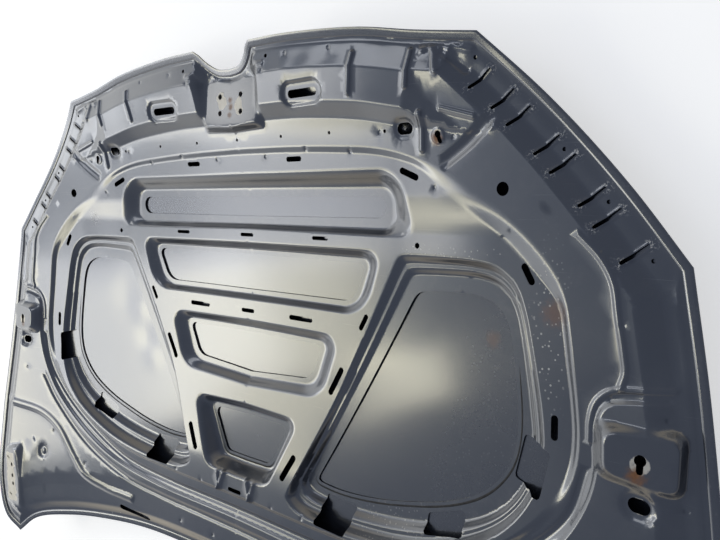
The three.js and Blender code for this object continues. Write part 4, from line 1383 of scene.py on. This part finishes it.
    def masks(self, mesh: bpy.types.Mesh) -> None:
        """Bare pads, worn edges, dusty lows and specked places, from the plan.

        Args:
            mesh: the frame's mesh.
        """
        xs, y = plan_places(mesh)
        x = np.abs(xs)
        bare = np.zeros(len(x))
        hinge = rounded([(674, -326, 6), (714, -332, 6), (703, -442, 8), (660, -442, 8)], True)
        bare = np.where(inside(hinge, x, y), 1.0, bare)
        for px, py, rx, ry in ((-20, 413, 11, 14), (20, 404, 9, 15), (-24, 421, 7, 7), (24, 396, 7, 7)):
            away = np.hypot((xs - px) / rx, (y - py) / ry)
            bare = np.maximum(bare, 1 - smooth((away - 0.75) / 0.5))
        for px, py, r in ((668, -20, 15), (667, -67, 13)):
            away = np.hypot(x - px, y - py)
            bare = np.maximum(bare, 0.6 * (1 - smooth((away - r * 0.62) / (r * 0.3))))
        store(mesh, "bare", bare)
        edge = distance(self.plan.half, x, y)
        crest = distance(self.plan.ring, x, y, True) * smooth((-90 - y) / 60) + 99 * (1 - smooth((-90 - y) / 60))
        flats = smooth((-300 - y) / 30) * smooth((30 - xs) / 60) * smooth((xs + 480) / 80)
        store(mesh, "wear", 0.12 + 0.3 * smooth((24 - edge) / 10) + 0.5 * np.exp(-(crest / 7) ** 2) + 0.35 * flats)
        low = np.zeros(len(x))
        for _, rim, toe, _ in self.plan.pockets:
            low = np.maximum(low, self.plan.share(rim, toe, x, y))
        store(mesh, "low", low)
        right = smooth((xs - 250) / 60)
        row = 2.4 * np.exp(-((y - 184) / 4) ** 2) * (x > 330) * (x < 480)
        cloud = 2.4 * np.exp(-((x - 554) / 14) ** 2 - ((y - 95) / 60) ** 2)
        store(mesh, "specks", np.clip((row + cloud) * right + 0.35 * np.exp(-((y + 225) / 50) ** 2) * right, 0, 1))
        residue = np.zeros(len(x))
        for middle in LAMP_SLITS:
            for ex, ey in slit_ends(*middle):
                crust = 1 - smooth((np.hypot(x - ex, y - ey) - 2.5) / 6)
                residue = np.maximum(residue, (0.65 + 0.35 * np.sign(xs)) * crust)
        tab = np.hypot(xs + 435, y - 215)
        residue = np.maximum(residue, 1.0 * (1 - smooth((tab - 6) / 10)))
        store(mesh, "residue", residue)


def clear_of(loops: list[Array], points: Array, gap: float) -> Array:
    """Leaves out the points in or near closed loops.

    Args:
        loops: the loops.
        points: plan points in mm.
        gap: least distance in mm.

    Returns:
        The points kept.
    """
    keep = np.ones(len(points), bool)
    for loop in loops:
        near = within(loop, points[:, 0], points[:, 1], 3)
        if len(near):
            px, py = points[near, 0], points[near, 1]
            keep[near] &= ~(inside(loop, px, py) | (distance(loop, px, py, True) < gap))
    return points[keep]


def thin(sets: Iterable[tuple[Array, float]]) -> Array:
    """Drops points that are too close to earlier ones.

    Args:
        sets: plan points and their least distance in mm, the most important first.

    Returns:
        The points kept.
    """
    size = max(gap for _, gap in sets)
    cells = {}
    out = []
    for points, gap in sets:
        least = gap * gap
        for x, y in points.tolist():
            cx, cy = int(x // size), int(y // size)
            near = (p for i in (cx - 1, cx, cx + 1) for j in (cy - 1, cy, cy + 1) for p in cells.get((i, j), ()))
            if all((px - x) ** 2 + (py - y) ** 2 >= least for px, py in near):
                cells.setdefault((cx, cy), []).append((x, y))
                out.append((x, y))
    return np.array(out)


def between(rim: Array, floor: Array, step: float, shares: Sequence[float]) -> list[Array]:
    """Loops between an outer and an inner closed line.

    Args:
        rim: outer loop.
        floor: inner loop.
        step: distance of their points in mm.
        shares: how far each lies inwards.

    Returns:
        The loops, the inner line last.
    """
    outer = resample(rim, step, True)
    inner = resample(floor, 1.0, True)
    gaps = np.hypot(outer[:, None, 0] - inner[None, :, 0], outer[:, None, 1] - inner[None, :, 1])
    nearest = inner[gaps.argmin(axis=1)]
    loops = [outer + (nearest - outer) * share for share in shares]
    return loops + [resample(floor, step, True)]


def shade(mesh: bpy.types.Mesh, height: Callable[[Array, Array], Array]) -> None:
    """Gives the faces along a height field its own normals, and leaves those of the cut edges.

    Args:
        mesh: the mesh.
        height: the field in mm.
    """
    x, y = plan_places(mesh)
    reach = 0.8
    slopes = [(height(x + a, y + b) - height(x - a, y - b)) / (2 * reach) for a, b in ((reach, 0), (0, reach))]
    field_normals = np.column_stack([-slopes[0], -slopes[1], np.ones(len(x))])
    field_normals /= np.linalg.norm(field_normals, axis=1)[:, None]
    corners = np.empty(len(mesh.loops), np.int32)
    mesh.loops.foreach_get("vertex_index", corners)
    faces = np.empty(len(mesh.polygons) * 3)
    mesh.polygons.foreach_get("normal", faces)
    sizes = np.empty(len(mesh.polygons), np.int32)
    mesh.polygons.foreach_get("loop_total", sizes)
    flat = np.repeat(faces.reshape(-1, 3), sizes, axis=0)
    wanted = field_normals[corners]
    match = np.sum(flat * wanted, axis=1)
    wanted = wanted * np.sign(match)[:, None]
    wanted[np.abs(match) < 0.6] = 0.0
    mesh.normals_split_custom_set(wanted.tolist())


def mark_sharp(mesh: bpy.types.Mesh, degrees: float) -> None:
    """Marks edges sharper than an angle, which smooth shading keeps.

    Args:
        mesh: the mesh.
        degrees: the angle.
    """
    bm = bmesh.new()
    bm.from_mesh(mesh)
    limit = math.radians(degrees)
    for e in bm.edges:
        e.smooth = len(e.link_faces) == 2 and e.calc_face_angle(0) < limit
    bm.to_mesh(mesh)
    bm.free()


@dataclass
class SkinPanel:
    """The outer skin with its folded edge."""
    plan: Plan
    thickness: float = SKIN_THICKNESS
    hem_width: float = HEM_WIDTH
    clearance: float = HEM_CLEARANCE
    grid: float = 14.0

    def fold(self) -> list[tuple[float, float]]:
        """The section of the folded edge.

        Returns:
            Distance from the edge and height over the show side, in mm.
        """
        hem = self.hem_width
        top = FLANGE_LEVEL + FRAME_THICKNESS + self.clearance + self.thickness
        low = top - self.thickness
        return [(1.7, 0.0), (0.5, 0.35), (0.0, 1.2), (0.0, top - 1.2), (0.5, top - 0.3), (1.7, top), (4.0, top),
                (8.0, top), (hem - 0.4, top - 0.1), (hem, top - 0.4), (hem, low), (4.0, low), (1.0, low),
                (1.0, self.thickness)]

    def build(self, material: Material) -> bpy.types.Object:
        """The skin as two sheets joined by the fold along its edge.

        Args:
            material: what it is made of.

        Returns:
            The riding object.
        """
        edge = self.plan.edge
        fold = self.fold()
        loops = {away: inset(edge, away) for away, _ in fold}
        xs, ys = np.meshgrid(np.arange(-760, 764, self.grid), np.arange(-508, 498, self.grid))
        pts = np.column_stack([xs.ravel(), ys.ravel()]).astype(float)
        pts = pts[inside(edge, pts[:, 0], pts[:, 1])]
        pts = pts[distance(edge, pts[:, 0], pts[:, 1], True) > 6]
        bm = bmesh.new()
        rows = []
        for away, up in fold:
            line = loops[away]
            rows.append(add_points(bm, line, skin_height(line[:, 0], line[:, 1]) + up))
        join_rows(bm, zip(rows, rows[1:]))
        for row, (away, up) in ((rows[0], fold[0]), (rows[-1], fold[-1])):
            loop = loops[away]
            flat, faces = triangulate(pts, [loop])
            centres = flat[faces].mean(axis=1)
            faces = faces[inside(loop, centres[:, 0], centres[:, 1])]
            z = skin_height(flat[:, 0], flat[:, 1]) + up + skin_dents(flat[:, 0], flat[:, 1])
            table = {(round(float(p[0]), 2), round(float(p[1]), 2)): v for p, v in zip(loop, row)}
            made = []
            for (x, y), h in zip(flat, z):
                known = table.get((round(float(x), 2), round(float(y), 2)))
                made.append(known or bm.verts.new((x * MM, (y + SHIFT_Y) * MM, h * MM)))
            for a, b, c in faces:
                bm.faces.new((made[a], made[b], made[c]))
        bmesh.ops.delete(bm, geom=[v for v in bm.verts if not v.link_faces], context="VERTS")
        smooth_faces(bm)
        piece = to_object("skin_panel", bm, material, ["outer_skin"])
        mesh = piece.data
        x, y = plan_places(mesh)
        away = distance(self.plan.half, np.abs(x), y)
        front = smooth((y - 380) / 60) * smooth((120 - x) / 100)
        store(mesh, "wear", 0.08 + (0.15 + 0.6 * front) * smooth((5 - away) / 3))
        store(mesh, "low", np.full(len(x), 0.1))
        store(mesh, "specks", smooth((x - 330) / 100) * 0.06)
        store(mesh, "residue", np.zeros(len(x)))
        mark_sharp(mesh, 50)
        return piece


@dataclass
class Bead:
    """A bead of mastic between skin and frame, a little behind the cut edge of one pocket."""
    name: str
    cut: np.ndarray
    behind: float = 6.0
    section: tuple = ((-3.0, 0.0), (-2.8, 1.3), (-1.5, 2.3), (0.0, 2.6), (1.5, 2.3), (2.8, 1.3), (3.0, 0.0))

    def build(self, material: Material) -> bpy.types.Object:
        """The bead as a closed ring with an uneven width.

        Args:
            material: what it is made of.

        Returns:
            The riding object.
        """
        random = np.random.default_rng(len(self.name))
        line = inset(resample(self.cut, 5, True), -self.behind)
        swell = 1 + 0.12 * np.convolve(random.normal(size=len(line) + 4), np.ones(5) / 5, mode="valid")
        bm = bmesh.new()
        rows = []
        for side, up in self.section:
            loop = line + (inset(line, 1.0) - line) * (side * swell)[:, None]
            z = skin_height(line[:, 0], line[:, 1]) + SKIN_THICKNESS + up
            rows.append(add_points(bm, loop, z))
        join_rows(bm, zip(rows, rows[1:] + rows[:1]))
        smooth_faces(bm)
        return to_object(f"bead_{self.name}", bm, material, [f"mastic_{self.name}"])


@dataclass(frozen=True)
class Lamp:
    """One soft area light in metres and watts."""
    name: str
    spot: Triple
    target: Triple
    size: tuple[float, float]
    power: float
    colour: Triple


LAMPS = (
    Lamp("key", (-1.80, -0.40, 1.78), (0.05, 0, 0.03), (0.50, 0.56), 2.9, (1.0, 0.92, 0.62)),
    Lamp("cream", (-1.38, -0.60, 1.88), (0.28, -0.02, 0.01), (0.24, 0.28), 1.15, (1.0, 0.94, 0.70)),
    Lamp("front", (-1.78, 0.06, 1.86), (0.05, 0.12, 0.03), (0.5, 0.6), 2.2, (1.0, 0.995, 0.99)),
    Lamp("shelf", (-1.95, -0.40, 1.54), (0.05, 0.4, 0.06), (0.6, 0.5), 2.5, (1.0, 0.995, 0.99)),
    Lamp("left", (-2.15, 0.10, 1.28), (-0.3, 0.43, 0.08), (0.5, 0.4), 1.7, (0.97, 0.985, 1.0)),
    Lamp("latch", (-1.86, 0.85, 1.67), (0.0, 0.41, 0.06), (0.3, 0.3), 0.8, (1.0, 0.99, 0.95)),
    Lamp("window", (-1.1, 1.35, 1.9), (0, 0, 0.03), (0.9, 0.6), 3.6, (0.97, 0.985, 1.0)),
)


@dataclass(frozen=True)
class Studio:
    """Floor, lights and the camera at the photograph's viewing angle."""
    eye: Triple = (0.8347, 0.2285, 0.7805)
    right: Triple = (0.7893, 0.0262, -0.6134)
    down: Triple = (0.0669, -0.9968, 0.0434)
    ahead: Triple = (-0.6103, -0.0753, -0.7886)
    focal: float = 650.0 / 720.0 * 36.0
    floor_size: float = 12.0

    def camera(self) -> None:
        """The fitted camera."""
        data = bpy.data.cameras.new("camera")
        data.sensor_width = 36.0
        data.lens = self.focal
        data.clip_start = 0.02
        camera = bpy.data.objects.new("camera", data)
        back = -Vector(self.ahead)
        rows = (Vector(self.right), -Vector(self.down), back)
        turn = Matrix(rows).transposed().to_4x4()
        camera.matrix_world = Matrix.Translation(self.eye) @ turn
        bpy.context.scene.collection.objects.link(camera)
        bpy.context.scene.camera = camera

    def floor(self) -> None:
        """A wide pale floor that looks white to the camera."""
        bm = bmesh.new()
        bmesh.ops.create_grid(bm, x_segments=2, y_segments=2, size=self.floor_size)
        mesh = bpy.data.meshes.new("floor")
        bm.to_mesh(mesh)
        bm.free()
        floor = bpy.data.objects.new("floor", mesh)
        bpy.context.scene.collection.objects.link(floor)
        material = bpy.data.materials.new("floor")
        material.use_nodes = True
        n = Nodes(material.node_tree)
        shader = material.node_tree.nodes["Principled BSDF"]
        place = n.new("ShaderNodeTexCoord").outputs["Object"]
        n.link(n.mix(n.noise(place, 2.0), (0.80, 0.80, 0.79), (0.84, 0.84, 0.83)), shader.inputs["Base Color"])
        shader.inputs["Roughness"].default_value = 0.7
        seen = n.new("ShaderNodeLightPath").outputs["Is Camera Ray"]
        shader.inputs["Emission Color"].default_value = (1.0, 1.0, 0.99, 1.0)
        n.link(n.math("MULTIPLY", seen, 0.55), shader.inputs["Emission Strength"])
        mesh.materials.append(material)

    @staticmethod
    def hang(lamp: Lamp) -> None:
        """Hangs one lamp, aimed at its target."""
        data = bpy.data.lights.new(lamp.name, "AREA")
        data.shape = "RECTANGLE"
        data.size, data.size_y = lamp.size
        data.energy = lamp.power
        data.color = lamp.colour
        light = bpy.data.objects.new(lamp.name, data)
        light.location = lamp.spot
        light.rotation_euler = (Vector(lamp.target) - Vector(lamp.spot)).to_track_quat("-Z", "Y").to_euler()
        bpy.context.scene.collection.objects.link(light)

    def surround(self) -> None:
        """A plain surround: cream low down, blue grey above, pale on the left, dark on the right."""
        world = bpy.data.worlds.new("surround")
        bpy.context.scene.world = world
        world.use_nodes = True
        n = Nodes(world.node_tree)
        background = world.node_tree.nodes["Background"]
        seen = n.new("ShaderNodeLightPath").outputs["Is Camera Ray"]
        height = n.new("ShaderNodeSeparateXYZ")
        n.link(n.new("ShaderNodeTexCoord").outputs["Generated"], height.inputs[0])
        around = n.mix(n.ramp(height.outputs["Z"], 0.05, 0.5), (0.95, 0.84, 0.66), (0.27, 0.30, 0.37))
        around = n.mix(n.ramp(height.outputs["X"], -0.84, -0.66, 1.0, 0.0), around, (1.45, 1.45, 1.42))
        around = n.mix(n.ramp(height.outputs["X"], 0.35, 0.85, 0.0, 0.75), around, (0.13, 0.15, 0.20))
        n.link(n.mix(seen, around, (0.93, 0.94, 0.95)), background.inputs["Color"])

    def build(self) -> None:
        """Sets everything up."""
        self.camera()
        self.floor()
        for lamp in LAMPS:
            self.hang(lamp)
        self.surround()
        bpy.context.scene.view_settings.view_transform = "Standard"


FRAME_PAINT = Paint()
SKIN_PAINT = Paint(colour=(0.052, 0.061, 0.082), fade=(0.062, 0.070, 0.090), roughness=0.20)
# Rust spots: x, y and radius in metres, strength.
FRAME_RUST = (
    (0.665, -0.026, 0.012, 0.95), (-0.667, -0.024, 0.009, 0.5), (0.395, 0.336, 0.010, 0.9), (-0.397, 0.336, 0.005, 0.4),
    (0.560, 0.128, 0.020, 0.38), (0.0, 0.420, 0.006, 0.7), (0.001, 0.408, 0.007, 0.7), (-0.001, 0.396, 0.006, 0.6),
)
SKIN_RUST = ((0.470, 0.082, 0.014, 0.22),)


@dataclass
class Bonnet:
    """The whole part."""
    plan: Plan = field(default_factory=Plan)
    library: Library = field(default_factory=Library)

    def dress_nodes(self) -> None:
        """Gives the carried-over CAD nodes their materials."""
        plate = self.library.steel("plate_steel", Steel((0.50, 0.48, 0.43), 0.04))
        nut = self.library.steel("nut_steel", Steel((0.40, 0.40, 0.42), 0.10))
        for name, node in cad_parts.items():
            material = nut if "_nut_" in name else plate
            if name in ("outer_skin", "inner_frame") or name.startswith("mastic"):
                continue
            node.data.materials.clear()
            node.data.materials.append(material)
            log.info("%s keeps its CAD form", name)

    def build(self) -> None:
        """Builds and dresses all pieces."""
        self.dress_nodes()
        mastic = self.library.mastic("mastic_bead", Mastic())
        for pocket, _, _, cut in self.plan.pockets:
            if pocket.whole:
                Bead(pocket.name, cut).build(mastic)
            else:
                Bead(f"{pocket.name}_right", cut).build(mastic)
                Bead(f"{pocket.name}_left", cut[::-1] * [-1, 1]).build(mastic)
        FramePanel(self.plan).build(self.library.paint("frame_paint", FRAME_PAINT, FRAME_RUST, True))
        SkinPanel(self.plan).build(self.library.paint("skin_paint", SKIN_PAINT, SKIN_RUST, False))


def main() -> None:
    """Builds the scene."""
    logging.basicConfig(level=logging.INFO, format="%(message)s")
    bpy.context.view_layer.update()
    Studio().build()
    Bonnet().build()


if __name__ == "__main__":
    main()
